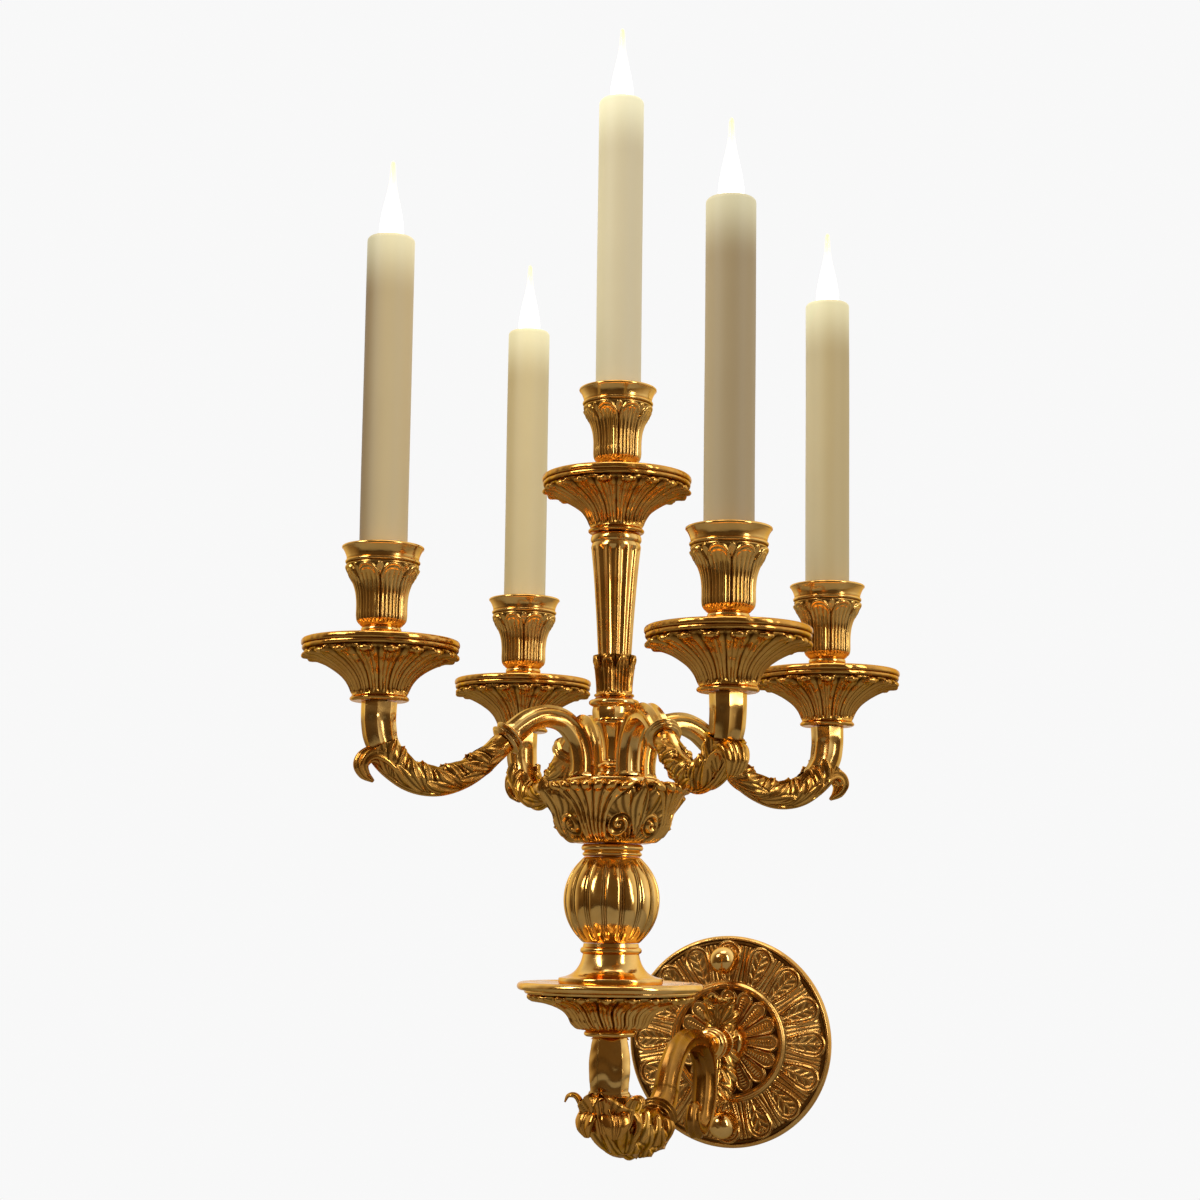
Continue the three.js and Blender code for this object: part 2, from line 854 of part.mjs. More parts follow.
const columnRows = scaled(columnShares, COLUMN_RADIUS, columnHeight);
stack('fluted_column', boredTurning(columnRows, 2 * COLUMN_FLUTES, COLUMN_FLUTES), columnHeight);

// Branch arms in their own frame: X runs out from the stem axis, Z up from the
// lid. A path row is [share of the spread out, share of the spread up, share of
// the rise from the lid to the light's seat].
const branchPathShares = [
  [0, 0, 0],
  [0, 0.081, 0],
  [0.024, 0.174, 0],
  [0.094, 0.254, 0],
  [0.187, 0.275, 0],
  [0.271, 0.249, 0],
  [0.344, 0.193, 0],
  [0.408, 0.134, 0],
  [0.499, -0.049, 0.35],
  [0.61, -0.22, 0.7],
  [0.72, -0.337, 1],
  [0.83, -0.321, 1],
  [0.925, -0.26, 1],
  [0.982, -0.181, 1],
  [1, -0.099, 1],
];
const branchStationShares = [
  [0.11, 0.68],
  [0.18, 0.68],
  [0.26, 0.68],
  [0.33, 0.7],
  [0.4, 0.74],
  [0.405, 1.02],
  [0.43, 1.02],
  [0.435, 0.63],
  [0.5, 0.64],
  [0.57, 0.68],
  [0.66, 0.73],
  [0.75, 0.78],
  [0.82, 0.84],
  [0.88, 0.94],
  [1, 1],
];

const branchLeafShares = [
  [0.44, 0, 0.74],
  [0.475, 0, 0.82],
  [0.51, 0, 0.74],
  [0.55, 0, 0.83],
  [0.59, 0, 0.75],
  [0.63, 0, 0.84],
  [0.67, 0, 0.75],
  [0.71, 0, 0.84],
  [0.75, 0, 0.74],
  [0.79, 0, 0.8],
  [0.83, 0, 0.72],
  [0.86, 0, 0.6],
];

// Hooked tip of the leaf as [share out from the arm, share along it] in the
// arm's radius, with the half width and half height of its section
const branchHookShare = 0.885;
const branchHookShares = [
  [0.3, -1.9, 0.7, 0.5],
  [0.6, -1.4, 0.7, 0.5],
  [0.95, -0.98, 0.66, 0.42],
  [1.28, -0.9, 0.62, 0.3],
  [1.55, -1.13, 0.5, 0.22],
  [1.49, -1.63, 0.34, 0.16],
  [1.11, -2.17, 0.1, 0.08],
];

const seatHeight = BRANCH_SEAT_HEIGHT - lidTop;
const branchSpread = BRANCH_REACH - branchFootReach;
const branchPoints = branchPathShares.map(([acrossShare, upShare, riseShare]) => [
  branchFootReach + acrossShare * branchSpread,
  upShare * branchSpread + riseShare * seatHeight,
]);
const branchCurve = curveThrough([
  [branchFootReach, -BRANCH_TENON_LENGTH],
  ...branchPoints,
  [BRANCH_REACH, seatHeight + OVERRUN],
]);
const tenonShare = BRANCH_TENON_LENGTH / branchCurve.getLength();
const branchStations = [
  [0, BRANCH_TENON_RADIUS / BRANCH_RADIUS],
  [tenonShare, BRANCH_TENON_RADIUS / BRANCH_RADIUS],
  [tenonShare, branchStationShares[0][1]],
  ...branchStationShares,
];

function branchArm() {
  const arm = facetedArm(branchCurve, branchStations, BRANCH_RADIUS);
  const bore = rod(BORE_RADIUS, seatHeight - NIPPLE_DEPTH - CLEARANCE, seatHeight + OVERRUN, BRANCH_REACH);
  const above = rod(2 * BRANCH_RADIUS, seatHeight, seatHeight + 2 * OVERRUN, BRANCH_REACH);
  return cut(arm, bore, above);
}

// Flattened, tapering loft through the rows of the hook
function branchHook() {
  const root = station(branchCurve, branchHookShare);
  const places = branchHookShares.map(([outShare, alongShare]) => (
    root.centre.clone()
      .addScaledVector(root.normal, outShare * BRANCH_RADIUS)
      .addScaledVector(root.tangent, alongShare * BRANCH_RADIUS)
  ));
  const rings = places.map((centre, i) => {
    const before = places[Math.max(i - 1, 0)];
    const after = places[Math.min(i + 1, places.length - 1)];
    const travel = after.clone().sub(before).normalize();
    const out = root.side.clone().cross(travel);
    const [, , wideShare, highShare] = branchHookShares[i];
    const ring = [];
    for (let j = 0; j < HOOK_SIDES; j += 1) {
      const angle = (2 * Math.PI * j) / HOOK_SIDES;
      ring.push(
        centre.clone()
          .addScaledVector(out, BRANCH_RADIUS * highShare * Math.cos(angle))
          .addScaledVector(root.side, BRANCH_RADIUS * wideShare * Math.sin(angle)),
      );
    }
    return ring;
  });
  return loft(rings, 'fan');
}

function branchLeaf() {
  const sheath = wrappedLeaf(
    branchCurve,
    branchLeafShares,
    radiusAlong(branchStations, BRANCH_RADIUS),
    BRANCH_LEAF_THICKNESS,
    SHEATH_STRIPS,
  );
  const hook = cut(branchHook(), facetedArm(branchCurve, branchStations, BRANCH_RADIUS, CLEARANCE));
  return fused(sheath, hook);
}

// Pieces of one light, upwards from the seat of its drip pan
const panShares = [
  [0.38, 0],
  [0.38, 0.09],
  [0.5, 0.35, 0.1],
  [0.67, 0.51, 0.13],
  [0.96, 0.72, 0.1],
  [1, 0.88],
  [0.98, 1],
];

function dripPan() {
  const rows = scaled(panShares, PAN_RADIUS, PAN_HEIGHT);
  rows.push([PAN_RADIUS - PAN_RIM, PAN_HEIGHT - PAN_DISH_DEPTH]);
  return boredTurning(rows, 2 * PAN_LEAVES, PAN_LEAVES);
}

const socketShares = [
  [0.47, 0],
  [0.47, 0.17],
  [0.59, 0.25, 0.06],
  [0.61, 0.44, 0.1],
  [0.76, 0.7, 0.12],
  [0.92, 0.8, 0.14],
  [0.88, 0.84],
  [1, 0.96],
  [0.98, 1],
];

function socket() {
  const rows = scaled(socketShares, SOCKET_RADIUS, SOCKET_HEIGHT);
  const well = SLEEVE_RADIUS + CLEARANCE;
  rows.push(
    [well, SOCKET_HEIGHT],
    [well, SOCKET_FLOOR],
    [BORE_RADIUS, SOCKET_FLOOR],
    [BORE_RADIUS, 0],
  );
  return turned(rows, 2 * SOCKET_LEAVES, SOCKET_LEAVES);
}

const sleeveHeight = SOCKET_HEIGHT - SOCKET_FLOOR + SLEEVE_ABOVE_SOCKET;

function candleSleeve() {
  const inside = SLEEVE_RADIUS - SLEEVE_WALL;
  const rows = [
    [SLEEVE_RADIUS, 0],
    [SLEEVE_RADIUS, sleeveHeight - SLEEVE_EDGE],
    [SLEEVE_RADIUS - SLEEVE_EDGE / 2, sleeveHeight],
    [inside, sleeveHeight],
    [inside, 0],
  ];
  return turned(rows, SLEEVE_SIDES);
}

// Lampholder: nipple, flange, pillar and the cup that takes the bulb cap
function lampholder() {
  const cupTop = sleeveHeight - HOLDER_TOP_DEPTH;
  const cupFloor = cupTop - HOLDER_CUP_HEIGHT;
  const capWell = BULB_CAP_RADIUS + 2 * CLEARANCE;
  const wellFloor = cupTop - BULB_CAP_HEIGHT - CLEARANCE;
  const nippleFoot = -SOCKET_FLOOR - (PAN_HEIGHT - PAN_DISH_DEPTH) - NIPPLE_DEPTH;
  const rows = [
    [TUBE_RADIUS, nippleFoot],
    [TUBE_RADIUS, CLEARANCE],
    [HOLDER_FLANGE_RADIUS, CLEARANCE],
    [HOLDER_FLANGE_RADIUS, HOLDER_FLANGE_HEIGHT],
    [TUBE_RADIUS, HOLDER_FLANGE_HEIGHT],
    [TUBE_RADIUS, cupFloor],
    [HOLDER_CUP_RADIUS, cupFloor],
    [HOLDER_CUP_RADIUS, cupTop],
    [capWell, cupTop],
    [capWell, wellFloor],
    [TUBE_RADIUS - TUBE_WALL, wellFloor],
    [TUBE_RADIUS - TUBE_WALL, nippleFoot],
  ];
  return turned(rows, BORE_SIDES);
}

// Flame-tip bulb with its screw cap below the sleeve's top
const flameShares = [
  [0.93, 0],
  [1, 0.12],
  [0.97, 0.24],
  [0.78, 0.38],
  [0.5, 0.52],
  [0.28, 0.66],
  [0.16, 0.82],
];

function bulb() {
  const capFoot = -HOLDER_TOP_DEPTH - BULB_CAP_HEIGHT;
  const profile = [
    [0, capFoot],
    [BULB_CAP_RADIUS / 2, capFoot],
    [BULB_CAP_RADIUS, capFoot + BULB_CAP_RADIUS / 2],
    [BULB_CAP_RADIUS, -HOLDER_TOP_DEPTH],
    ...scaled(flameShares, BULB_RADIUS, BULB_FLAME_HEIGHT),
    [0, BULB_FLAME_HEIGHT],
  ].map(([radius, height]) => new THREE.Vector2(radius, height));
  const glass = new THREE.LatheGeometry(profile, BULB_SIDES);
  glass.rotateX(Math.PI / 2);
  return glass;
}

function light(place, group) {
  const panSeat = CLEARANCE;
  const socketSeat = panSeat + PAN_HEIGHT - PAN_DISH_DEPTH + CLEARANCE;
  const sleeveSeat = socketSeat + SOCKET_FLOOR + CLEARANCE;
  piece(`drip_pan_${place}`, dripPan(), gilt, group).position.z = panSeat;
  piece(`socket_${place}`, socket(), gilt, group).position.z = socketSeat;
  piece(`lampholder_${place}`, lampholder(), porcelain, group).position.z = sleeveSeat;
  piece(`candle_sleeve_${place}`, candleSleeve(), ivory, group).position.z = sleeveSeat;
  piece(`bulb_${place}`, bulb(), glowingGlass, group).position.z = sleeveSeat + sleeveHeight;
}

branchAngles.forEach(([place, angle]) => {
  const branch = new THREE.Group();
  branch.position.z = lidTop + CLEARANCE;
  branch.rotation.z = angle;
  piece(`branch_${place}`, branchArm(), gilt, branch);
  piece(`branch_leaf_${place}`, branchLeaf(), darkGilt, branch);
  const top = new THREE.Group();
  top.position.set(BRANCH_REACH, 0, seatHeight);
  light(place, top);
  branch.add(top);
  stem.add(branch);
});

const columnTop = new THREE.Group();
columnTop.position.z = COLUMN_SEAT_HEIGHT;
light('centre', columnTop);
stem.add(columnTop);

// Hollow tube that clamps the stem together and carries the wires
function centreTube() {
  const foot = POST_FOOT_HEIGHT + CLEARANCE;
  const top = COLUMN_SEAT_HEIGHT - NIPPLE_DEPTH - CLEARANCE;
  const inside = TUBE_RADIUS - TUBE_WALL;
  const rows = [
    [TUBE_RADIUS, foot],
    [TUBE_RADIUS, top],
    [inside, top],
    [inside, foot],
  ];
  return turned(rows, BORE_SIDES);
}

piece('centre_tube', centreTube(), steel, stem);

export default sconce;
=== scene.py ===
import math

import bmesh
import bpy
import numpy as np
from mathutils import Matrix, Vector


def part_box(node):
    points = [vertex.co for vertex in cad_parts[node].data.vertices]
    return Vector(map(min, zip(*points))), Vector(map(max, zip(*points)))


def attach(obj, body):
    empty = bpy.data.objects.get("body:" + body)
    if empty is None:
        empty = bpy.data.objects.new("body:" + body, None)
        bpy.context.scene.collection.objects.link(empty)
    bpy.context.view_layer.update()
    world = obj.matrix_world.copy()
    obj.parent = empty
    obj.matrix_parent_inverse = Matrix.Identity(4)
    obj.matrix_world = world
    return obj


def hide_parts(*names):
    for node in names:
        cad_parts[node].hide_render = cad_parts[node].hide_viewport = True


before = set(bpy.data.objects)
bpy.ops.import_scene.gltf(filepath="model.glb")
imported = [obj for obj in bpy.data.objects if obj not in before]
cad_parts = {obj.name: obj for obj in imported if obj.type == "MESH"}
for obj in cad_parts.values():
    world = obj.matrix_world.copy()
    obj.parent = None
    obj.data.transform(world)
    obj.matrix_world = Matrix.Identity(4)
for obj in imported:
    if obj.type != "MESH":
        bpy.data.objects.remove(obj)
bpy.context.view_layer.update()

# Sizes shared with the solid model, in millimetres. The origin is the centre
# of the wall plate's back face, the wall is y = 0 and the front faces -Y.
MM = 0.001
TURN = 2.0 * math.pi
STEM_REACH = 205.0
BRANCH_REACH = 126.5
POST_FOOT_HEIGHT = -17.0
PLACES = {
    "front_left": -0.75 * math.pi,
    "front_right": -0.25 * math.pi,
    "back_right": 0.25 * math.pi,
    "back_left": 0.75 * math.pi,
}

# Fineness of the meshes
FINE = 0.45
SHARP_ANGLE = math.radians(38.0)
CARVED_ANGLE = math.radians(75.0)


# Small helpers
def smooth_step(low, high, x):
    share = np.clip((x - low) / (high - low), 0.0, 1.0)
    return share * share * (3.0 - 2.0 * share)


def bump(centre, half_width, x):
    """A smooth hump, 1 at the centre and 0 from half_width on."""
    return 1.0 - smooth_step(0.0, half_width, np.abs(x - centre))


def leaf_phase(angle, count, start=0.0):
    """Place across the nearest of count leaves, from -1 to 1."""
    share = (angle - start) * count / TURN
    return 2.0 * (share - np.floor(share + 0.5))


def seat_of(node):
    """Lowest and highest z of a solid, in millimetres."""
    low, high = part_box(node)
    return low[2] / MM, high[2] / MM


def height_of(node):
    low, high = seat_of(node)
    return high - low


def catmull(points, per_span=24):
    """Centripetal curve through the points, as dense points."""
    p = np.asarray(points, float)
    p = np.vstack([2 * p[0] - p[1], p, 2 * p[-1] - p[-2]])
    out = []
    for i in range(1, len(p) - 2):
        x0, x1, x2, x3 = p[i - 1 : i + 3]
        d0, d1, d2 = (max(np.linalg.norm(b - a), 1e-9) ** 0.5 for a, b in ((x0, x1), (x1, x2), (x2, x3)))
        t1 = ((x1 - x0) / d0 - (x2 - x0) / (d0 + d1) + (x2 - x1) / d1) * d1
        t2 = ((x2 - x1) / d1 - (x3 - x1) / (d1 + d2) + (x3 - x2) / d2) * d1
        t = np.linspace(0.0, 1.0, per_span, endpoint=False)[:, None]
        out.append(x1 + t1 * t + (3 * (x2 - x1) - 2 * t1 - t2) * t**2 + (2 * (x1 - x2) + t1 + t2) * t**3)
    out.append(p[-2:-1])
    return np.vstack(out)


def resample(line, spacing):
    length = np.r_[0.0, np.cumsum(np.linalg.norm(np.diff(line, axis=0), axis=1))]
    count = max(2, int(round(length[-1] / spacing)) + 1)
    at = np.linspace(0.0, length[-1], count)
    return np.stack([np.interp(at, length, line[:, k]) for k in range(line.shape[1])], axis=1)


def profile(*runs, spacing=FINE):
    """One outline from smooth runs; a corner lies where two runs meet."""
    parts = []
    for run in runs:
        line = catmull(run) if len(run) > 2 else np.asarray(run, float)
        parts.append(resample(line, spacing if len(run) > 2 else 4 * spacing))
    return np.vstack(parts)


# Meshes
def make_object(name, vertices, faces, cavity=None, sharp=SHARP_ANGLE):
    mesh = bpy.data.meshes.new(name)
    mesh.from_pydata((np.asarray(vertices) * MM).tolist(), [], faces)
    mesh.validate()
    if cavity is not None:
        layer = mesh.attributes.new("cavity", "FLOAT", "POINT")
        layer.data.foreach_set("value", np.asarray(cavity, np.float32))
    mesh.shade_smooth()
    mesh.set_sharp_from_angle(angle=sharp)
    thing = bpy.data.objects.new(name, mesh)
    bpy.context.scene.collection.objects.link(thing)
    return thing


def grid_faces(rows, columns, across=True, along=False):
    i = np.arange(rows if along else rows - 1)
    j = np.arange(columns if across else columns - 1)
    i, j = (g.ravel() for g in np.meshgrid(i, j, indexing="ij"))
    here, there = i * columns, ((i + 1) % rows) * columns
    k = (j + 1) % columns
    return np.stack([here + j, here + k, there + k, there + j], axis=1).tolist()


def revolve(name, outline, columns, relief=None, sharp=SHARP_ANGLE):
    """A turned piece on the Z axis with relief carved along the outline's normal.
    relief(angle, radius, height, place) gives depth in mm and cavity 0 to 1, the share of dark patina and painted
    shade."""
    radius, height = outline[:, 0], outline[:, 1]
    step_r, step_z = np.gradient(radius), np.gradient(height)
    size = np.hypot(step_r, step_z) + 1e-9
    normal_r, normal_z = (step_z / size)[:, None], (-step_r / size)[:, None]
    place = np.r_[0.0, np.cumsum(np.hypot(np.diff(radius), np.diff(height)))][:, None]
    angle = np.linspace(0.0, TURN, columns, endpoint=False)[None, :]
    r, z = np.repeat(radius[:, None], columns, 1), np.repeat(height[:, None], columns, 1)
    depth, cavity = np.zeros_like(r), np.zeros_like(r)
    if relief:
        depth, cavity = relief(angle, r, z, place)
        depth, cavity = np.broadcast_to(depth, r.shape), np.broadcast_to(cavity, r.shape)
    r2, z2 = r + normal_r * depth, z + normal_z * depth
    points = np.stack([r2 * np.cos(angle), r2 * np.sin(angle), z2], axis=2).reshape(-1, 3)
    return make_object(name, points, grid_faces(len(radius), columns), cavity.ravel(), sharp)


class Path:
    """A flat route in the XZ plane, read by share of its length."""

    def __init__(self, points):
        line = catmull([(x, 0.0, z) for x, z in points], 60)
        self.line = resample(line, 0.25)
        self.shares = np.linspace(0.0, 1.0, len(self.line))
        self.length = np.linalg.norm(np.diff(self.line, axis=0), axis=1).sum()
        slope = np.gradient(self.line, axis=0)
        self.tangent = slope / np.linalg.norm(slope, axis=1)[:, None]

    def at(self, shares):
        centre = np.stack([np.interp(shares, self.shares, self.line[:, k]) for k in range(3)], axis=-1)
        tangent = np.stack([np.interp(shares, self.shares, self.tangent[:, k]) for k in range(3)], axis=-1)
        tangent /= np.linalg.norm(tangent, axis=-1, keepdims=True)
        side = np.broadcast_to(np.array([0.0, 1.0, 0.0]), tangent.shape)
        return centre, tangent, np.cross(side, tangent), side


def shares_to(stations, radius):
    table = np.asarray(stations, float)
    return lambda share: radius * np.interp(share, table[:, 0], table[:, 1])


def swept(name, path, shares, ring, cavity=None, sharp=SHARP_ANGLE, caps=True):
    """A tube along a path. ring(share, angle) gives its radius in mm."""
    columns = 96
    angle = np.linspace(0.0, TURN, columns, endpoint=False)[None, :]
    share = np.asarray(shares)[:, None]
    centre, _, normal, side = path.at(share[:, 0])
    r = ring(share, angle)
    points = (
        centre[:, None, :]
        + normal[:, None, :] * (r * np.cos(angle))[:, :, None]
        + side[:, None, :] * (r * np.sin(angle))[:, :, None]
    )
    faces = grid_faces(len(shares), columns)
    flat = points.reshape(-1, 3).tolist()
    if caps:
        for row, turn in ((0, 1), (len(shares) - 1, -1)):
            faces.append(list(range(row * columns, (row + 1) * columns))[:: -turn])
    hollows = (
        np.zeros(len(flat)) if cavity is None else np.broadcast_to(cavity(share, angle), r.shape).ravel()
    )
    return make_object(name, flat, faces, hollows, sharp)


def octagon(angle, hollow):
    """Radius share of an eight-sided section with hollowed faces."""
    face = np.abs(leaf_phase(angle, 8))
    straight = math.cos(math.pi / 8) / np.cos(face * math.pi / 8)
    return straight * (1.0 - hollow * (1.0 - face**2))


def wrapped_leaf(name, path, shares, spread, lift, seat, thickness, face, columns=96):
    """A leaf round the outside of an arm. spread(share) is its half angle, lift(share, v)
    its height above the seat, face(share, v) its carved relief; v runs from -1 to 1."""
    v = np.linspace(-1.0, 1.0, columns)[None, :]
    share = np.asarray(shares)[:, None]
    half = spread(share)
    angle = v * half
    centre, _, normal, side = path.at(share[:, 0])
    base = seat(share) + lift(share, v)
    relief, cavity = face(share, v)
    outer = base + thickness * np.sqrt(np.clip(1.0 - np.abs(v) ** 8, 0.0, 1.0)) + relief
    grids = []
    for r in (outer, base):
        grids.append(
            centre[:, None, :]
            + normal[:, None, :] * (r * np.cos(angle))[:, :, None]
            + side[:, None, :] * (r * np.sin(angle))[:, :, None]
        )
    ring = np.concatenate([grids[0], grids[1][:, ::-1]], axis=1)
    rows, wide = ring.shape[:2]
    faces = grid_faces(rows, wide)
    for row, turn in ((0, 1), (rows - 1, -1)):
        for j in range(columns - 1):
            quad = [row * wide + j, row * wide + j + 1, row * wide + wide - 2 - j, row * wide + wide - 1 - j]
            faces.append(quad[::turn])
    # The inner face of the leaf, against the arm, is dark: painted shade
    hollows = np.concatenate([np.broadcast_to(cavity, outer.shape), np.full(outer.shape, 0.6)], axis=1)
    return make_object(name, ring.reshape(-1, 3), faces, hollows.ravel(), CARVED_ANGLE)


def lobes(x, y, table, ribs=3):
    """Overlapping carved leaf lobes on a flat map in mm, the later ones on top.
    A row is (foot x, foot y, tip x, tip y, half width, height)."""
    depth = np.zeros(np.broadcast(x, y).shape)
    # The ground between the lobes starts dark: patina and painted shade
    hollow = np.full(depth.shape, 0.8)
    for foot_x, foot_y, tip_x, tip_y, half, height in table:
        step_x, step_y = tip_x - foot_x, tip_y - foot_y
        size = math.hypot(step_x, step_y)
        along = ((x - foot_x) * step_x + (y - foot_y) * step_y) / size**2
        across = ((x - foot_x) * step_y - (y - foot_y) * step_x) / size
        reach = np.clip(along, 0.0, 1.0)
        wide = half * np.sin(math.pi * reach**1.4) ** 0.65 + 1e-3
        share = np.abs(across) / wide
        inside = (along > 0.0) & (along < 1.0)
        on = smooth_step(1.08, 0.94, share) * inside
        near = smooth_step(1.5, 1.0, share) * inside
        rib = np.cos(math.pi * ribs * across / wide)
        dome = np.sqrt(np.clip(1.0 - 0.75 * share**2, 0.0, 1.0))
        lobe = height * (0.45 + 0.55 * reach) * dome + 0.22 * rib + 0.4 * bump(0.0, 0.2, share)
        # Painted shadow along the edge of each lobe, where it lies over the one beneath; patina and painted shade
        # in the grooves between its ribs
        hollow = on * 0.75 * smooth_step(-0.2, -0.9, rib) + (1.0 - on) * np.maximum(hollow, 0.9 * near)
        depth = on * lobe + (1.0 - on) * (depth - 0.35 * near)
    return depth, hollow


def merged(name, *things):
    """One piece from several meshes."""
    build = bmesh.new()
    for thing in things:
        build.from_mesh(thing.data)
        bpy.data.objects.remove(thing)
    mesh = bpy.data.meshes.new(name)
    build.to_mesh(mesh)
    build.free()
    whole = bpy.data.objects.new(name, mesh)
    bpy.context.scene.collection.objects.link(whole)
    return whole


# Finishes
def node_material(name):
    material = bpy.data.materials.new(name)
    material.use_nodes = True
    tree = material.node_tree
    shader = tree.nodes["Principled BSDF"]
    return material, tree, shader


def add(tree, kind, **values):
    made = tree.nodes.new(kind)
    for key, value in values.items():
        setattr(made, key, value)
    return made


def fill(node, values):
    for name, value in values.items():
        node.inputs[name].default_value = value


def ramp(tree, source, stops):
    made = add(tree, "ShaderNodeValToRGB")
    elements = made.color_ramp.elements
    while len(elements) < len(stops):
        elements.new(0.5)
    for element, (place, colour) in zip(elements, stops):
        element.position = place
        element.color = (*colour, 1.0)
    tree.links.new(source, made.inputs["Fac"])
    return made


EDGE_GOLD = (0.86, 0.60, 0.28)


def gilt(name, pale, warm, dark, rough, grain, bump_strength, waves_at=(75.0, 0.5)):
    """Gilt bronze: patches of paler and warmer gold, dark patina and painted shade in the hollows."""
    material, tree, shader = node_material(name)
    link = tree.links.new
    where = add(tree, "ShaderNodeTexCoord")
    patches = add(tree, "ShaderNodeTexNoise")
    fill(patches, {"Scale": 38.0, "Detail": 5.0, "Roughness": 0.62})
    link(where.outputs["Object"], patches.inputs["Vector"])
    tone = ramp(tree, patches.outputs["Fac"], [(0.34, warm), (0.66, pale)])
    fine = add(tree, "ShaderNodeTexNoise")
    fill(fine, {"Scale": grain, "Detail": 6.0})
    link(where.outputs["Object"], fine.inputs["Vector"])
    hollow = add(tree, "ShaderNodeAttribute", attribute_name="cavity")
    worn = add(tree, "ShaderNodeMath", operation="MULTIPLY_ADD")
    link(fine.outputs["Fac"], worn.inputs[0])
    worn.inputs[1].default_value = 0.16
    worn.inputs[2].default_value = -0.08
    depth = add(tree, "ShaderNodeMath", operation="ADD", use_clamp=True)
    link(hollow.outputs["Fac"], depth.inputs[0])
    link(worn.outputs[0], depth.inputs[1])
    # The cavity share mixes in the dark colour: patina and painted shade in hollows, grooves and undersides
    colour = add(tree, "ShaderNodeMix", data_type="RGBA")
    link(depth.outputs[0], colour.inputs["Factor"])
    link(tone.outputs["Color"], colour.inputs["A"])
    colour.inputs["B"].default_value = (*dark, 1.0)
    link(colour.outputs["Result"], shader.inputs["Base Color"])
    dull = add(tree, "ShaderNodeMapRange")
    link(fine.outputs["Fac"], dull.inputs["Value"])
    fill(dull, {"From Min": 0.3, "From Max": 0.7, "To Min": rough[0], "To Max": rough[1]})
    duller = add(tree, "ShaderNodeMath", operation="MULTIPLY_ADD", use_clamp=True)
    link(hollow.outputs["Fac"], duller.inputs[0])
    duller.inputs[1].default_value = 0.22
    link(dull.outputs["Result"], duller.inputs[2])
    link(duller.outputs[0], shader.inputs["Roughness"])
    dents = add(tree, "ShaderNodeBump")
    fill(dents, {"Strength": bump_strength, "Distance": 0.0004})
    link(fine.outputs["Fac"], dents.inputs["Height"])
    waves = add(tree, "ShaderNodeTexNoise")
    fill(waves, {"Scale": waves_at[0], "Detail": 1.0})
    link(where.outputs["Object"], waves.inputs["Vector"])
    dished = add(tree, "ShaderNodeBump")
    fill(dished, {"Strength": waves_at[1], "Distance": 0.0022})
    link(waves.outputs["Fac"], dished.inputs["Height"])
    link(dents.outputs["Normal"], dished.inputs["Normal"])
    link(dished.outputs["Normal"], shader.inputs["Normal"])
    fill(shader, {"Metallic": 1.0, "Specular Tint": (*EDGE_GOLD, 1.0)})
    film = add(tree, "ShaderNodeMapRange")
    link(hollow.outputs["Fac"], film.inputs["Value"])
    fill(film, {"From Max": 0.4, "To Min": 0.14, "To Max": 0.0})
    link(film.outputs["Result"], shader.inputs["Coat Weight"])
    fill(shader, {"Coat Roughness": 0.12, "Coat Tint": (1.0, 0.93, 0.78, 1.0)})
    return material


def plain_finish(name, colours, scale, rough, metallic=0.0, bump_strength=0.1):
    """A finish whose tone drifts between two colours, with a slight surface grain."""
    material, tree, shader = node_material(name)
    link = tree.links.new
    where = add(tree, "ShaderNodeTexCoord")
    drift = add(tree, "ShaderNodeTexNoise")
    fill(drift, {"Scale": scale, "Detail": 4.0})
    link(where.outputs["Object"], drift.inputs["Vector"])
    tone = ramp(tree, drift.outputs["Fac"], [(0.35, colours[0]), (0.65, colours[1])])
    link(tone.outputs["Color"], shader.inputs["Base Color"])
    gloss = add(tree, "ShaderNodeMapRange")
    link(drift.outputs["Fac"], gloss.inputs["Value"])
    fill(gloss, {"To Min": rough[0], "To Max": rough[1]})
    link(gloss.outputs["Result"], shader.inputs["Roughness"])
    grain = add(tree, "ShaderNodeTexNoise")
    grain.inputs["Scale"].default_value = 30.0 * scale
    link(where.outputs["Object"], grain.inputs["Vector"])
    dents = add(tree, "ShaderNodeBump")
    fill(dents, {"Strength": bump_strength, "Distance": 0.0002})
    link(grain.outputs["Fac"], dents.inputs["Height"])
    link(dents.outputs["Normal"], shader.inputs["Normal"])
    shader.inputs["Metallic"].default_value = metallic
    return material, tree, shader


PALE_GOLD = (0.94, 0.60, 0.20)
WARM_GOLD = (0.82, 0.45, 0.10)
DEEP_GOLD = (0.62, 0.27, 0.045)
# Dark colour for the hollows: the bronze's patina together with painted shade
PATINA_AND_SHADE = (0.070, 0.020, 0.001)
polished = gilt("polished_gilt", PALE_GOLD, WARM_GOLD, PATINA_AND_SHADE, (0.11, 0.20), 120.0, 0.05)
chased = gilt("chased_gilt", WARM_GOLD, DEEP_GOLD, PATINA_AND_SHADE, (0.12, 0.24), 160.0, 0.12, (125.0, 0.6))
# A darker copy of the gilt: painted shade for the bracket arm
shaded_gilt = gilt("shaded_bracket_gilt", (0.46, 0.22, 0.045), (0.33, 0.135, 0.018), PATINA_AND_SHADE, (0.18, 0.3), 120.0, 0.05)
plate_gilt = gilt("plate_gilt", (0.86, 0.51, 0.15), (0.72, 0.36, 0.075), PATINA_AND_SHADE, (0.2, 0.3), 90.0, 0.03)
bright_chased = gilt("bright_chased_gilt", PALE_GOLD, WARM_GOLD, PATINA_AND_SHADE, (0.12, 0.22), 160.0, 0.16)
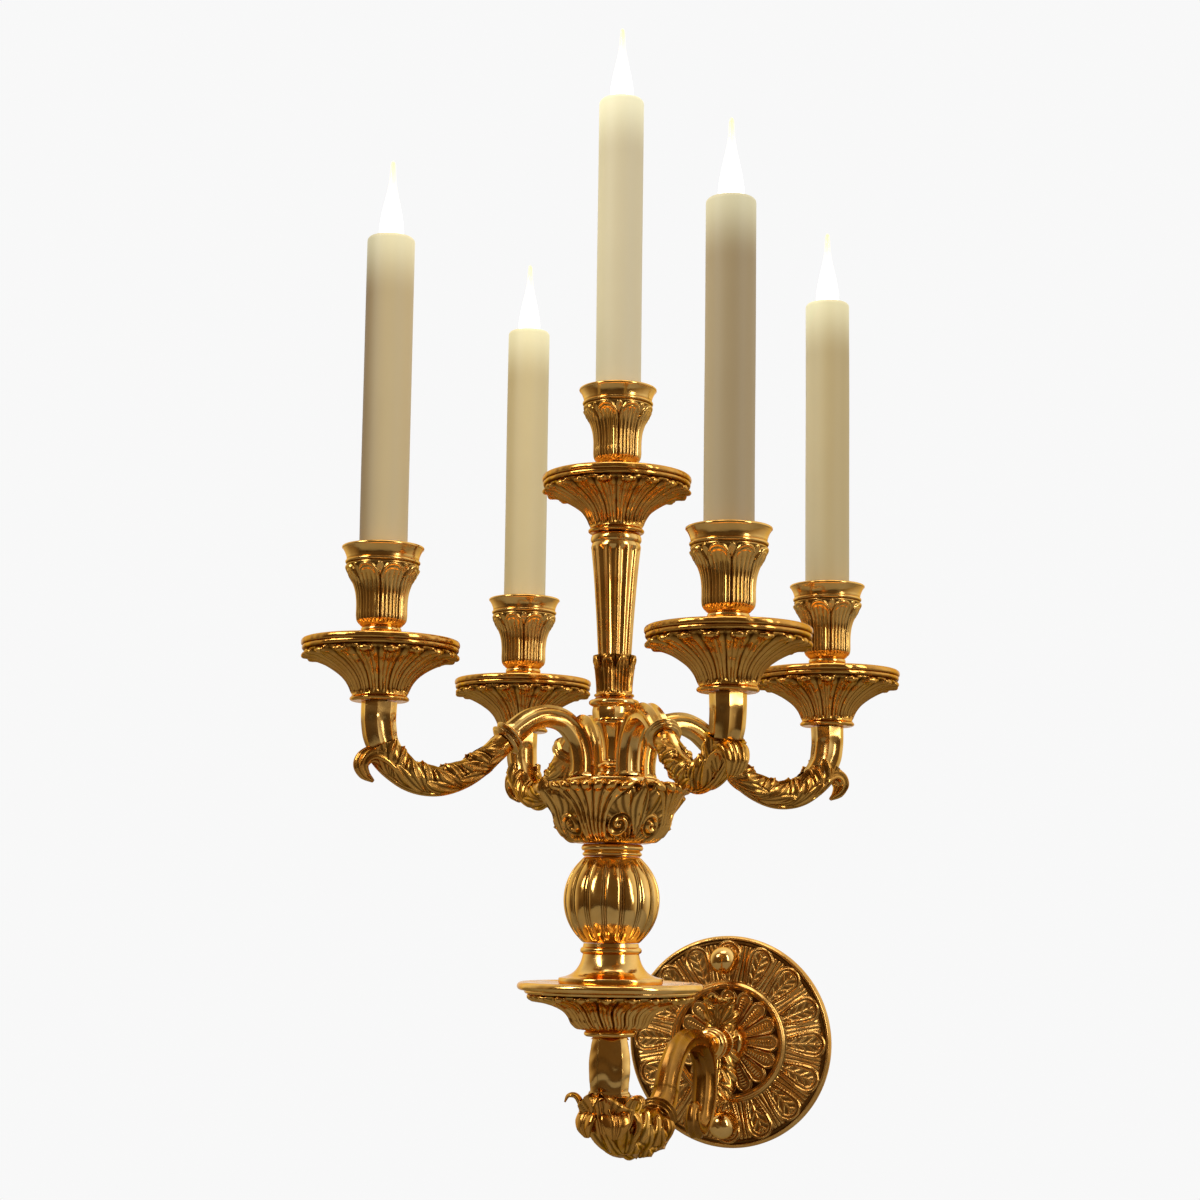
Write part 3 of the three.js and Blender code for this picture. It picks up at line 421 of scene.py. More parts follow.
# A paler copy of the chased gilt: painted highlight on the basket and the lower leaf flare
lit_basket_gilt = gilt(
    "lit_basket_gilt", (0.90, 0.52, 0.135), (0.68, 0.32, 0.055), PATINA_AND_SHADE, (0.12, 0.22), 160.0, 0.14, (125.0, 0.7)
)
steel, _, _ = plain_finish("fixing_steel", ((0.42, 0.42, 0.41), (0.56, 0.56, 0.55)), 60.0, (0.3, 0.45), 1.0)
porcelain, _, _ = plain_finish(
    "lampholder_white", ((0.78, 0.76, 0.70), (0.84, 0.82, 0.77)), 20.0, (0.25, 0.35),
)


# Each sleeve's ivory with painted light and shade, as (left, right) colours: some sleeves lighter than others, each
# lighter on one side
SLEEVE_LIGHT_AND_SHADE_TONES = {
    "centre": ((0.80, 0.68, 0.39), (0.72, 0.60, 0.36)),
    "front_left": ((0.25, 0.155, 0.05), (0.66, 0.50, 0.25)),
    "front_right": ((0.50, 0.37, 0.18), (0.40, 0.285, 0.135)),
    "back_left": ((0.56, 0.41, 0.165), (0.76, 0.61, 0.31)),
    "back_right": ((0.92, 0.78, 0.44), (0.56, 0.42, 0.19)),
}


def ivory_finish(place, height):
    """Ivory-coloured sleeve with painted light and shade across it, and a painted glow from the bulb over its last
    stretch.
    """
    left, right = SLEEVE_LIGHT_AND_SHADE_TONES[place]
    material, tree, shader = plain_finish(
        "ivory_" + place, ((0.93, 0.92, 0.90), (1.0, 1.0, 1.0)), 9.0, (0.5, 0.62),
    )
    link = tree.links.new
    drift = shader.inputs["Base Color"].links[0].from_socket
    where = add(tree, "ShaderNodeTexCoord")
    split = add(tree, "ShaderNodeSeparateXYZ")
    link(where.outputs["Object"], split.inputs[0])
    # Painted light and shade from the left side of the sleeve to the right
    across = add(tree, "ShaderNodeMapRange", interpolation_type="SMOOTHSTEP")
    link(split.outputs["X"], across.inputs["Value"])
    fill(across, {"From Min": -0.0105, "From Max": 0.0075})
    tone = ramp(tree, across.outputs["Result"], [(0.0, left), (1.0, right)])
    both = add(tree, "ShaderNodeMix", data_type="RGBA", blend_type="MULTIPLY")
    both.inputs["Factor"].default_value = 1.0
    link(tone.outputs["Color"], both.inputs["A"])
    link(drift, both.inputs["B"])
    link(both.outputs["Result"], shader.inputs["Base Color"])
    # Painted glow over the top of the sleeve, by the bulb
    near = add(tree, "ShaderNodeMapRange", interpolation_type="SMOOTHSTEP")
    link(split.outputs["Z"], near.inputs["Value"])
    fill(near, {"From Min": height - 0.032, "From Max": height + 0.004, "To Max": 0.42})
    link(near.outputs["Result"], shader.inputs["Emission Strength"])
    shader.inputs["Emission Color"].default_value = (0.86, 0.90, 0.62, 1.0)
    return material


def glowing_glass():
    """Clear glass that glows white at its body and warm at its tip."""
    material, tree, shader = node_material("glowing_glass")
    link = tree.links.new
    where = add(tree, "ShaderNodeTexCoord")
    split = add(tree, "ShaderNodeSeparateXYZ")
    link(where.outputs["Object"], split.inputs[0])
    up = add(tree, "ShaderNodeMapRange")
    link(split.outputs["Z"], up.inputs["Value"])
    up.inputs["From Max"].default_value = 0.041
    glow = ramp(
        tree, up.outputs["Result"], [
            (0.0, (1.0, 0.98, 0.92)), (0.45, (1.0, 0.95, 0.84)), (0.8, (1.0, 0.90, 0.66)),
            (1.0, (0.98, 0.84, 0.56)),
        ]
    )
    link(glow.outputs["Color"], shader.inputs["Emission Color"])
    power = add(tree, "ShaderNodeMapRange")
    link(up.outputs["Result"], power.inputs["Value"])
    fill(power, {"From Min": 0.25, "To Min": 1.3, "To Max": 0.62})
    link(power.outputs["Result"], shader.inputs["Emission Strength"])
    tint = ramp(tree, up.outputs["Result"], [(0.0, (0.9, 0.84, 0.7)), (1.0, (0.72, 0.5, 0.22))])
    link(tint.outputs["Color"], shader.inputs["Base Color"])
    fill(shader, {"Roughness": 0.08, "IOR": 1.46})
    return material


glow = glowing_glass()


def settle(thing, material, nodes, body="root", place=None, turn=0.0):
    """Finishes a piece, puts it in place and lets it stand for solids."""
    thing.data.materials.clear()
    thing.data.materials.append(material)
    if turn:
        thing.data.transform(Matrix.Rotation(turn, 4, "Z"))
    if place is not None:
        thing.location = Vector(place) * MM
    bpy.context.view_layer.update()
    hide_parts(*nodes)
    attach(thing, body)
    return thing


def copy_of(thing, name):
    twin = bpy.data.objects.new(name, thing.data.copy())
    bpy.context.scene.collection.objects.link(twin)
    return twin


def stem_piece(node, outline, finish, columns, relief=None, sharp=SHARP_ANGLE):
    """Turns one piece of the stem and seats it on the foot of its solid."""
    thing = revolve(node + "_dressed", outline, columns, relief, sharp)
    settle(thing, finish, [node], place=(0.0, -STEM_REACH, seat_of(node)[0]))


BORE = 4.8

# Drip pan: rolled rim over a ring of curled leaves that run down to a collar
PAN_LEAVES = 18


def pan_relief(angle, r, z, place):
    u = leaf_phase(angle, PAN_LEAVES)
    between = leaf_phase(angle, PAN_LEAVES, TURN / PAN_LEAVES / 2)
    flute = smooth_step(2.9, 5.0, z) * smooth_step(24.4, 23.6, z) * (r > 12.0)
    tip = smooth_step(19.4, 21.2, z) * smooth_step(24.4, 23.4, z) * (r > 24.0)
    body = 1.0 * np.sqrt(np.clip(1.0 - (u / 0.95) ** 2, 0.0, 1.0))
    rib = 0.42 * bump(0.0, 0.2, u) - 0.34 * bump(0.32, 0.14, np.abs(u)) + 0.2 * bump(0.58, 0.14, np.abs(u))
    groove = smooth_step(0.8, 1.0, np.abs(u))
    curl = 1.2 * bump(22.0, 1.7, z) * (1.0 - smooth_step(0.35, 0.8, np.abs(u)))
    notch = -3.0 * smooth_step(0.42, 0.9, np.abs(u)) * tip
    small = 1.5 * smooth_step(0.34, 0.1, np.abs(between)) * tip
    shape = flute * (body + rib - 1.1 + curl + notch + small)
    # Patina and painted shade in the grooves between the leaves and between the leaf tips
    dark = 0.85 * groove + 0.6 * bump(0.32, 0.12, np.abs(u)) + 0.95 * smooth_step(0.45, 0.75, np.abs(u)) * tip
    # Painted shade in the tucks under the rolled rim and under the bead below it
    under = bump(24.6, 0.7, z) * (r > 30.0) + bump(26.9, 0.45, z) * (r > 38.0)
    return shape, np.clip(flute * dark + 0.8 * under, 0.0, 1.0)


pan_outline = profile(
    [(BORE, 0.0), (13.4, 0.0)],
    [(13.4, 0.0), (14.4, 0.5), (14.6, 1.4), (14.0, 2.2)],
    [
        (14.0, 2.2), (13.6, 2.8), (13.9, 4.2), (15.7, 8.3), (18.5, 11.9), (22.6, 15.1), (27.2, 17.8),
        (31.8, 19.8), (36.2, 21.2),
    ],
    [(36.2, 21.2), (37.6, 22.2), (37.7, 23.4), (36.7, 24.4)],
    [(36.7, 24.4), (38.0, 24.7), (38.5, 25.6), (38.3, 26.6), (37.9, 26.9)],
    [(37.9, 26.9), (38.7, 27.2), (39.0, 28.2), (38.7, 29.5), (37.6, 30.2), (36.4, 29.8), (35.7, 28.6)],
    [(35.7, 28.6), (34.4, 27.5), (26.0, 27.2), (14.0, 27.2)],
    [(14.0, 27.2), (BORE, 27.2)],
)
drip_pan = revolve("drip_pan_shape", pan_outline, 20 * PAN_LEAVES, pan_relief, CARVED_ANGLE)

# Socket: bevelled rim above a crown of lotus leaves with three ribs each
SOCKET_LEAVES = 8


def socket_relief(angle, r, z, place):
    u = leaf_phase(angle, SOCKET_LEAVES)
    back = leaf_phase(angle, SOCKET_LEAVES, TURN / SOCKET_LEAVES / 2)
    reach = 39.4 - 7.5 * np.abs(u) ** 2.6
    on_leaf = smooth_step(reach + 0.3, reach - 0.3, z)
    border = bump(0.8, 0.75, reach - z) + 0.7 * bump(2.6, 0.6, reach - z)
    back_reach = 40.0 - 13.0 * np.abs(back) ** 1.2
    on_back = smooth_step(back_reach + 0.3, back_reach - 0.3, z)
    ribs = np.cos(5.0 * math.pi * u)
    split = smooth_step(0.88, 1.0, np.abs(u)) * smooth_step(36.0, 31.0, z)
    carve = smooth_step(9.6, 13.0, z) * smooth_step(40.2, 39.8, z) * (r > 11.0)
    low = smooth_step(38.0, 33.0, z)
    leaf = 0.6 * on_leaf + 0.26 * ribs * on_leaf * low + 0.45 * border * on_leaf
    shape = leaf + (1.0 - on_leaf) * (0.5 * on_back - 0.6) - 0.5 * split - 0.35
    hollow = (
        0.55 * split + 0.4 * smooth_step(-0.3, -0.9, ribs) * on_leaf * low
        + 0.8 * (1.0 - on_leaf) * (1.0 - on_back)
    )
    hollow = hollow + 0.5 * bump(1.8, 0.5, reach - z) * on_leaf
    edge = 0.7 * bump(40.6, 0.6, z) + 0.2 * bump(9.4, 0.9, z) + 0.4 * bump(42.9, 0.6, z)
    return carve * shape, np.clip(carve * hollow + edge * (r > 9.0), 0.0, 1.0)


socket_outline = profile(
    [(BORE, 0.0), (9.2, 0.0)],
    [(9.2, 0.0), (9.6, 2.0), (9.3, 4.0), (9.2, 6.4)],
    [(9.2, 6.4), (9.9, 7.0), (9.9, 8.4), (9.3, 9.2)],
    [
        (9.3, 9.2), (10.6, 10.2), (11.7, 12.2), (12.1, 14.6), (12.1, 18.0), (12.2, 22.0), (12.8, 26.6),
        (14.2, 31.0), (16.4, 35.2), (18.2, 38.4), (18.5, 39.6), (17.4, 40.4),
    ],
    [(17.4, 40.4), (18.3, 40.9), (18.5, 41.8), (17.8, 42.6)],
    [(17.8, 42.6), (18.0, 44.0), (18.8, 46.2), (19.8, 48.0)],
    [(19.8, 48.0), (20.3, 48.4), (20.2, 49.2), (19.5, 49.6)],
    [(19.5, 49.6), (17.0, 49.5), (14.6, 49.0), (12.4, 48.2)],
    [(12.4, 48.2), (12.35, 34.3)],
    [(12.35, 34.3), (BORE, 34.3)],
)
socket = revolve("socket_shape", socket_outline, 32 * SOCKET_LEAVES, socket_relief, CARVED_ANGLE)

# Candle sleeve and flame bulb
sleeve_low, sleeve_high = seat_of("candle_sleeve_centre")
SLEEVE_HEIGHT = sleeve_high - sleeve_low


def sleeve_relief(angle, r, z, place):
    drip = 0.05 * np.sin(3.0 * angle + z / 31.0) + 0.03 * np.sin(7.0 * angle - z / 17.0)
    return np.where(r > 11.5, drip - 0.07, 0.0), 0.0


SLEEVE_INSIDE = 10.7
sleeve_outline = profile(
    [(SLEEVE_INSIDE, 0.0), (11.95, 0.0)],
    [(11.95, 0.0), (12.0, SLEEVE_HEIGHT / 3), (12.0, 2 * SLEEVE_HEIGHT / 3), (12.0, SLEEVE_HEIGHT - 1.6)],
    [(12.0, SLEEVE_HEIGHT - 1.6), (11.8, SLEEVE_HEIGHT - 0.6), (11.2, SLEEVE_HEIGHT)],
    [(11.2, SLEEVE_HEIGHT), (10.9, SLEEVE_HEIGHT - 0.1), (SLEEVE_INSIDE, SLEEVE_HEIGHT - 0.5)],
    [(SLEEVE_INSIDE, SLEEVE_HEIGHT - 0.5), (SLEEVE_INSIDE, 0.0)],
    spacing=1.2,
)
sleeve = revolve("sleeve_shape", sleeve_outline, 96, sleeve_relief)

FLAME = 41.0
BULB_FOOT = -23.0
bulb_outline = profile(
    [(0.02, BULB_FOOT), (3.4, BULB_FOOT), (6.8, -19.6)],
    [(6.8, -19.6), (6.8, -3.0)],
    [
        (6.8, -3.0), (6.1, 0.0), (6.1, 2.5), (6.0, 6.0), (5.4, 10.5), (4.4, 16.0), (3.2, 21.5), (2.1, 27.0),
        (1.5, 32.0), (1.25, 37.0), (0.85, 40.1), (0.02, FLAME),
    ],
    spacing=0.5,
)
flame_bulb = revolve("flame_bulb_shape", bulb_outline, 48)

for place in [*PLACES, "centre"]:
    low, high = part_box("socket_" + place)
    x, y = (low[0] + high[0]) / 2 / MM, (low[1] + high[1]) / 2 / MM
    turn = PLACES.get(place, 0.0)
    for shape, kind, finish, slot_name, body in (
        (drip_pan, "drip_pan_", chased, "chased_gilt", "root"),
        (socket, "socket_", bright_chased, "chased_gilt", "root"),
        (
            sleeve, "candle_sleeve_", ivory_finish(place, SLEEVE_HEIGHT * MM), "ivory_sleeve",
            "sleeve_" + place
        ),
        (flame_bulb, "bulb_", glow, "glowing_glass", "lamp_" + place),
    ):
        node = kind + place
        height = seat_of(node)[0] - (BULB_FOOT if kind == "bulb_" else 0.0)
        settle(copy_of(shape, node + "_dressed"), finish, [node], body, (x, y, height), turn)
for shape in (drip_pan, socket, sleeve, flame_bulb):
    bpy.data.objects.remove(shape)


# Stem: fluted column, leaf cup, drum, funnel and rings
def column_relief(angle, r, z, place):
    u = leaf_phase(angle, 14)
    top = height_of("fluted_column")
    zone = smooth_step(-1.0, 1.0, z) * smooth_step(top - 6.5, top - 9.5, z) * (r > 6.0)
    flute = 1.0 - np.abs(u / 0.8) ** 2
    depth = -1.0 * np.clip(flute, 0.0, 1.0)
    return zone * depth, 0.15 * zone * smooth_step(0.3, 0.9, flute) + 0.4 * bump(top - 4.6, 0.8, z) * (r > 12)


column_height = height_of("fluted_column")
column_outline = profile(
    [(BORE, 0.0), (8.4, 0.0)],
    [
        (8.4, 0.0), (8.9, 9.0), (9.8, column_height * 0.35), (11.6, column_height * 0.7),
        (13.0, column_height - 7.0),
    ],
    [(13.0, column_height - 7.0), (12.6, column_height - 5.4), (12.3, column_height - 4.8)],
    [
        (12.3, column_height - 4.8), (13.1, column_height - 4.0), (13.2, column_height - 2.2),
        (12.6, column_height - 0.6), (11.8, column_height),
    ],
    [(11.8, column_height), (BORE, column_height)],
    spacing=0.8,
)
stem_piece("fluted_column", column_outline, polished, 14 * 18, column_relief)

cup_low, cup_high = seat_of("column_leaf_cup")
CUP = cup_high - cup_low


def cup_relief(angle, r, z, place):
    u = leaf_phase(angle, 8)
    zone = smooth_step(1.6, 3.0, z) * (r > 8.4)
    reach = CUP - 0.4 - 6.5 * np.abs(u) ** 2.4
    on_leaf = smooth_step(reach + 0.25, reach - 0.25, z)
    border = bump(0.9, 0.8, reach - z)
    ribs = np.cos(4.0 * math.pi * u) * smooth_step(CUP - 1.0, CUP - 7.0, z)
    split = smooth_step(0.86, 1.0, np.abs(u))
    shape = 0.5 * on_leaf + 0.3 * ribs * on_leaf + 0.4 * border - 0.7 * split - 0.6 * (1.0 - on_leaf)
    return zone * shape, zone * np.clip(0.8 * split + 0.5 * (ribs < -0.4) + 0.6 * (1.0 - on_leaf), 0.0, 1.0)


cup_outline = profile(
    [(BORE, 0.0), (9.4, 0.0)],
    [(9.4, 0.0), (10.3, 0.5), (10.2, 1.4), (9.3, 1.8)],
    [(9.3, 1.8), (8.8, 3.0), (8.9, 7.0), (9.4, 12.0), (10.1, 17.0), (11.0, CUP - 1.2), (11.6, CUP - 0.2)],
    [(11.6, CUP - 0.2), (11.2, CUP), (10.4, CUP - 0.4), (9.6, CUP - 2.4), (9.2, CUP - 5.0)],
    spacing=0.35,
)
stem_piece("column_leaf_cup", cup_outline, chased, 8 * 32, cup_relief)


def faceted(hollow, low, high):
    def relief(angle, r, z, place):
        zone = (
            smooth_step(low - 0.2, low + 0.2, z) * smooth_step(high + 0.2, high - 0.2, z) * (r > BORE + 1.0)
        )
        return zone * r * (octagon(angle, hollow) - 1.0), 0.0 * zone

    return relief


DRUM = height_of("column_drum")
drum_outline = profile(
    [(BORE, 0.0), (10.6, 0.0)],
    [(10.6, 0.0), (11.2, DRUM * 0.3), (11.2, DRUM * 0.45), (10.8, DRUM * 0.62)],
    [
        (10.8, DRUM * 0.62), (12.0, DRUM * 0.66), (12.9, DRUM * 0.72), (13.0, DRUM * 0.8),
        (12.4, DRUM * 0.88), (10.4, DRUM * 0.93),
    ],
    [(10.4, DRUM * 0.93), (9.6, DRUM)],
    [(9.6, DRUM), (BORE, DRUM)],
    spacing=0.4,
)
stem_piece("column_drum", drum_outline, polished, 192, faceted(0.06, 0.4, DRUM * 0.6))

VASE = height_of("column_vase")
vase_outline = profile(
    [(BORE, 0.0), (5.4, 0.0)],
    [(5.4, 0.0), (5.5, VASE * 0.25), (6.6, VASE * 0.6), (8.6, VASE * 0.86), (9.6, VASE * 0.95), (9.4, VASE)],
    [(9.4, VASE), (BORE, VASE)],
)
stem_piece("column_vase", vase_outline, polished, 96)

NUT = height_of("lid_nut")
nut_outline = profile(
    [(BORE, 0.0), (7.9, 0.0)],
    [(7.9, 0.0), (8.4, NUT * 0.15), (7.9, NUT * 0.3)],
    [(7.9, NUT * 0.3), (6.8, NUT * 0.36), (6.8, NUT * 0.5)],
    [(6.8, NUT * 0.5), (7.9, NUT * 0.58), (8.0, NUT * 0.72), (6.9, NUT * 0.84)],
    [(6.9, NUT * 0.84), (5.6, NUT * 0.9), (5.3, NUT)],
    [(5.3, NUT), (BORE, NUT)],
    spacing=0.35,
)
stem_piece("lid_nut", nut_outline, polished, 96)

LID = height_of("basket_lid")
lid_outline = profile(
    [(BORE, 0.0), (23.0, 0.0)],
    [(23.0, 0.0), (24.1, 0.8), (24.3, 1.8), (24.1, LID - 0.8), (23.2, LID)],
    [(23.2, LID), (21.8, LID - 0.3), (21.2, LID)],
    [(21.2, LID), (BORE, LID)],
)
stem_piece("basket_lid", lid_outline, polished, 128)

# Basket: four fanned palmettes and, below the arms, four groups of acanthus with scrolls
BASKET_LEAVES = 4
BASKET = height_of("acanthus_basket")
LID_SEAT = seat_of("basket_lid")[0] - seat_of("acanthus_basket")[0] - 0.3
ACANTHUS = [
    (-2.0, 13.0, -18.0, 19.0, 5.0, 1.6),
    (2.0, 13.0, 18.0, 19.0, 5.0, 1.6),
    (-2.0, 13.0, -16.0, 27.0, 5.6, 2.0),
    (2.0, 13.0, 16.0, 27.0, 5.6, 2.0),
    (-1.8, 8.0, -9.2, 28.6, 5.6, 2.4),
    (1.8, 8.0, 9.2, 28.6, 5.6, 2.4),
    (0.0, 3.0, 0.0, 29.6, 4.4, 2.9),
]


def scroll(x, y, turn):
    """A carved spiral about a point, with a round eye."""
    ring = np.hypot(x, y)
    line = np.cos(TURN * ring / 2.6 - turn * np.arctan2(y, x))
    inside = smooth_step(4.2, 3.7, ring)
    return (
        inside * (0.9 + 0.6 * line + 0.7 * bump(0.0, 1.3, ring)), inside,
        inside * smooth_step(0.0, -0.8, line)
    )


def basket_relief(angle, r, z, place):
    zone = smooth_step(0.2, 1.6, z) * (r > 17.0) * smooth_step(29.6, 28.9, z)
    x = leaf_phase(angle, BASKET_LEAVES) * math.pi * r / BASKET_LEAVES
    rise = np.clip(z, 0.0, 30.0) / 29.0
    sway = 1.0 - 0.30 * np.sin(math.pi * rise) + 0.22 * rise**3
    fan = np.arctan2(x, z + 9.0) / (0.50 * sway)
    share = np.abs(fan)
    palm = smooth_step(1.03, 0.97, share)
    blades = 3.5 * fan
    line = np.abs(np.cos(math.pi * blades))
    dome = 1.0 - 0.55 * share**2
    tip_row = 1.7 * bump(28.2, 3.0, z) * smooth_step(0.1, 0.6, line)
    palm_depth = 0.2 + 1.0 * dome + 1.5 * line**2 - 0.4 * line**8 + 0.9 * bump(1.0, 0.1, share) + tip_row
    palm_hollow = 0.95 * smooth_step(0.55, 0.1, line) * smooth_step(0.05, 0.3, rise)
    side = leaf_phase(angle, BASKET_LEAVES, TURN / BASKET_LEAVES / 2) * math.pi * r / BASKET_LEAVES
    stalk = np.arctan2(side, z + 4.0)
    stem_line = np.cos(stalk * 26.0)
    ground = 0.2 + 0.5 * stem_line
    depth, hollow = lobes(side, z, ACANTHUS, 2)
    depth = 1.55 * depth
    bare = smooth_step(0.35, 0.1, depth)
    depth = (1.0 - bare) * depth + bare * ground
    hollow = (1.0 - bare) * hollow + bare * (0.35 + 0.5 * smooth_step(0.2, -0.7, stem_line))
    for sign in (-1.0, 1.0):
        curl, inside, dark = scroll((side - sign * 9.0) / 1.45, (z - 8.8) / 1.45, sign * 1.0)
        depth = depth * (1.0 - inside) + 1.35 * curl
        hollow = hollow * (1.0 - inside) + dark * 0.9
    depth = palm * palm_depth + (1.0 - palm) * depth
    hollow = palm * palm_hollow + (1.0 - palm) * hollow
    return zone * (depth - 1.2), zone * np.clip(hollow, 0.0, 1.0)


basket_outline = profile(
    [(BORE, 0.0), (15.0, 0.0)],
    [
        (15.0, 0.0), (18.6, 0.2), (22.6, 1.5), (26.0, 4.4), (28.7, 8.4), (30.2, 12.6), (31.2, 16.4),
        (33.0, 20.4), (35.2, 24.2), (36.6, 26.4),
    ],
    [(36.6, 26.4), (37.5, 27.6), (37.2, 28.9), (35.6, 29.4)],
    [(35.6, 29.4), (31.0, 28.4), (27.0, 28.4), (25.0, LID_SEAT)],
    [(25.0, LID_SEAT), (21.6, LID_SEAT), (21.5, 15.0)],
)
# The basket takes the paler copy of the chased gilt as painted highlight
stem_piece(
    "acanthus_basket", basket_outline, lit_basket_gilt, BASKET_LEAVES * 128, basket_relief,
    CARVED_ANGLE,
)

RING = height_of("neck_ring")
ring_outline = profile(
    [(BORE, 0.0), (14.4, 0.0)],
    [(14.4, 0.0), (15.3, RING * 0.18), (14.5, RING * 0.4)],
    [
        (14.5, RING * 0.4), (14.3, RING * 0.46), (15.3, RING * 0.5), (15.9, RING * 0.7), (15.4, RING * 0.9),
        (14.6, RING),
    ],
    [(14.6, RING), (BORE, RING)],
    spacing=0.35,
)
stem_piece("neck_ring", ring_outline, polished, 128)

# Ball with sixteen broad ribs parted by narrow double fillets
BALL = height_of("ribbed_ball")
BALL_RADIUS = 24.9


def ball_relief(angle, r, z, place):
    u = np.abs(leaf_phase(angle, 16))
    share = np.clip(r / BALL_RADIUS, 0.0, 1.0)
    zone = smooth_step(0.4, 2.4, z) * smooth_step(BALL - 0.4, BALL - 2.4, z) * share
    rib = 0.8 * np.sqrt(np.clip(1.0 - (u / 0.72) ** 2, 0.0, 1.0))
    fillet = 0.55 * bump(0.88, 0.13, u)
    depth = rib + fillet - 1.15
    return zone * depth, zone * np.clip(bump(0.74, 0.1, u) + bump(1.0, 0.09, u), 0.0, 1.0) * 0.9


ball_points = []
for step in range(25):
    up = step / 24
    bulge = math.sqrt(max(0.0, 1.0 - (1.64 * (up - 0.5)) ** 2))
    ball_points.append((BALL_RADIUS * bulge, BALL * up))
ball_outline = profile([(BORE, 0.0), ball_points[0]], ball_points, [ball_points[-1], (BORE, BALL)])
stem_piece("ribbed_ball", ball_outline, polished, 16 * 26, ball_relief)

FOOT = height_of("stem_foot")
foot_outline = profile(
    [(BORE, 0.0), (26.2, 0.0)],
    [(26.2, 0.0), (26.5, 0.3), (26.5, 2.7), (26.2, 3.0)],
    [(26.2, 3.0), (22.6, 3.9), (18.8, 6.0), (16.2, 9.4), (14.9, 12.6), (14.4, 14.6)],
    [(14.4, 14.6), (14.4, 15.2), (15.3, 15.7), (15.7, 16.8), (15.3, 18.0), (14.4, 18.6)],
    [(14.4, 18.6), (14.0, FOOT)],
    [(14.0, FOOT), (BORE, FOOT)],
)
stem_piece("stem_foot", foot_outline, polished, 160)

PAN = height_of("lower_pan")
lower_pan_outline = profile(
    [(BORE, 0.0), (38.0, 0.0)],
    [(38.0, 0.0), (42.4, -1.7), (43.6, -1.2), (43.9, -0.2), (43.2, 0.5)],
    [(43.2, 0.5), (45.6, 0.1), (47.0, 0.7), (47.6, 2.0), (47.1, 3.4), (45.8, 4.2), (44.4, 4.0)],
    [(44.4, 4.0), (42.8, PAN - 0.4), (36.0, PAN - 1.0), (27.0, PAN - 1.2)],
    [(27.0, PAN - 1.2), (BORE, PAN - 1.2)],
)
stem_piece("lower_pan", lower_pan_outline, polished, 192)

FLARE = height_of("lower_leaf_flare")
FLARE_LEAVES = 20


def flare_relief(angle, r, z, place):
    bend = 0.22 * TURN / FLARE_LEAVES * np.sin(math.pi * smooth_step(4.0, 19.0, z)) * (r > 12.2)
    u = leaf_phase(angle + bend, FLARE_LEAVES)
    between = leaf_phase(angle + bend, FLARE_LEAVES, TURN / FLARE_LEAVES / 2)
    zone = smooth_step(3.0, 5.0, z) * smooth_step(20.4, 20.0, z) * (r > 12.2)
    tip = smooth_step(36.0, 40.0, r)
    body = 0.9 * (1.0 - np.abs(u) ** 2.0) - 0.4
    vein = 0.75 * bump(0.0, 0.26, u) - 0.5 * bump(0.38, 0.16, np.abs(u))
    groove = smooth_step(0.76, 1.0, np.abs(u))
    notch = (
        -2.2 * smooth_step(0.5, 0.85, np.abs(u)) * tip + 1.2 * smooth_step(0.4, 0.1, np.abs(between)) * tip
    )
    dark = 0.95 * groove + 0.7 * bump(0.38, 0.14, np.abs(u)) + 0.6 * tip * (np.abs(u) > 0.6)
    return zone * (body + vein - 1.1 * groove + notch), zone * np.clip(dark, 0.0, 1.0)


flare_outline = profile(
    [(BORE, 0.0), (12.2, 0.0)],
    [(12.2, 0.0), (13.1, 0.7), (13.1, 2.0), (12.3, 2.6)],
    [
        (12.3, 2.6), (13.4, 3.4), (16.4, 4.4), (19.0, 6.6), (20.8, 10.0), (23.4, 13.0), (28.6, 15.8),
        (34.6, 17.6), (39.4, 18.4),
    ],
    [(39.4, 18.4), (40.8, 18.7), (41.5, 19.4), (41.0, 20.3), (40.0, 20.6)],
    [(40.0, 20.6), (38.0, FLARE - 0.4)],
    [(38.0, FLARE - 0.4), (BORE, FLARE - 0.4)],
)
# The flare takes the paler copy of the chased gilt as painted highlight
stem_piece(
    "lower_leaf_flare", flare_outline, lit_basket_gilt, FLARE_LEAVES * 24, flare_relief,
    CARVED_ANGLE,
)

# Post: four broad flat faces between rounded corners, on a foot band
post_low, post_high = seat_of("stem_post")
POST = post_high - (POST_FOOT_HEIGHT + 0.3)
POST_TURN = math.radians(21.0)


def post_relief(angle, r, z, place):
    face = np.abs(leaf_phase(angle, 4, POST_TURN))
    straight = np.minimum(0.86 / np.cos(face * math.pi / 4), 1.0)
    zone = (r > 8.0) * smooth_step(-0.1, 0.2, z)
    # Painted shade in a line along each rounded corner, and a dark line at the top of the foot band
    edge = bump(0.69, 0.05, face) + bump(2.0, 0.5, z)
    uneven = 0.11 * np.sin(TURN * z / 8.5 + 1.6 * np.sin(5.0 * angle)) * smooth_step(2.4, 5.0, z)
    return zone * (r * (straight - 1.0) + uneven), 0.5 * np.clip(edge, 0.0, 1.0) * zone


post_outline = profile(
    [(BORE, -6.0), (7.0, -6.0)],
    [(7.0, -6.0), (7.0, 0.0)],
    [(7.0, 0.0), (11.9, 0.0)],
    [(11.9, 0.0), (12.0, 0.8), (11.8, 1.8)],
    [
        (11.8, 1.8), (11.3, 2.1), (11.7, POST * 0.28), (12.1, POST * 0.5), (11.8, POST * 0.68),
        (11.0, POST * 0.84), (9.9, POST),
    ],
    [(9.9, POST), (BORE, POST)],
)
settle(
    revolve("stem_post_dressed", post_outline, 256, post_relief, math.radians(22.0)),
    polished, ["stem_post"], place=(0.0, -STEM_REACH, POST_FOOT_HEIGHT + 0.3),
)

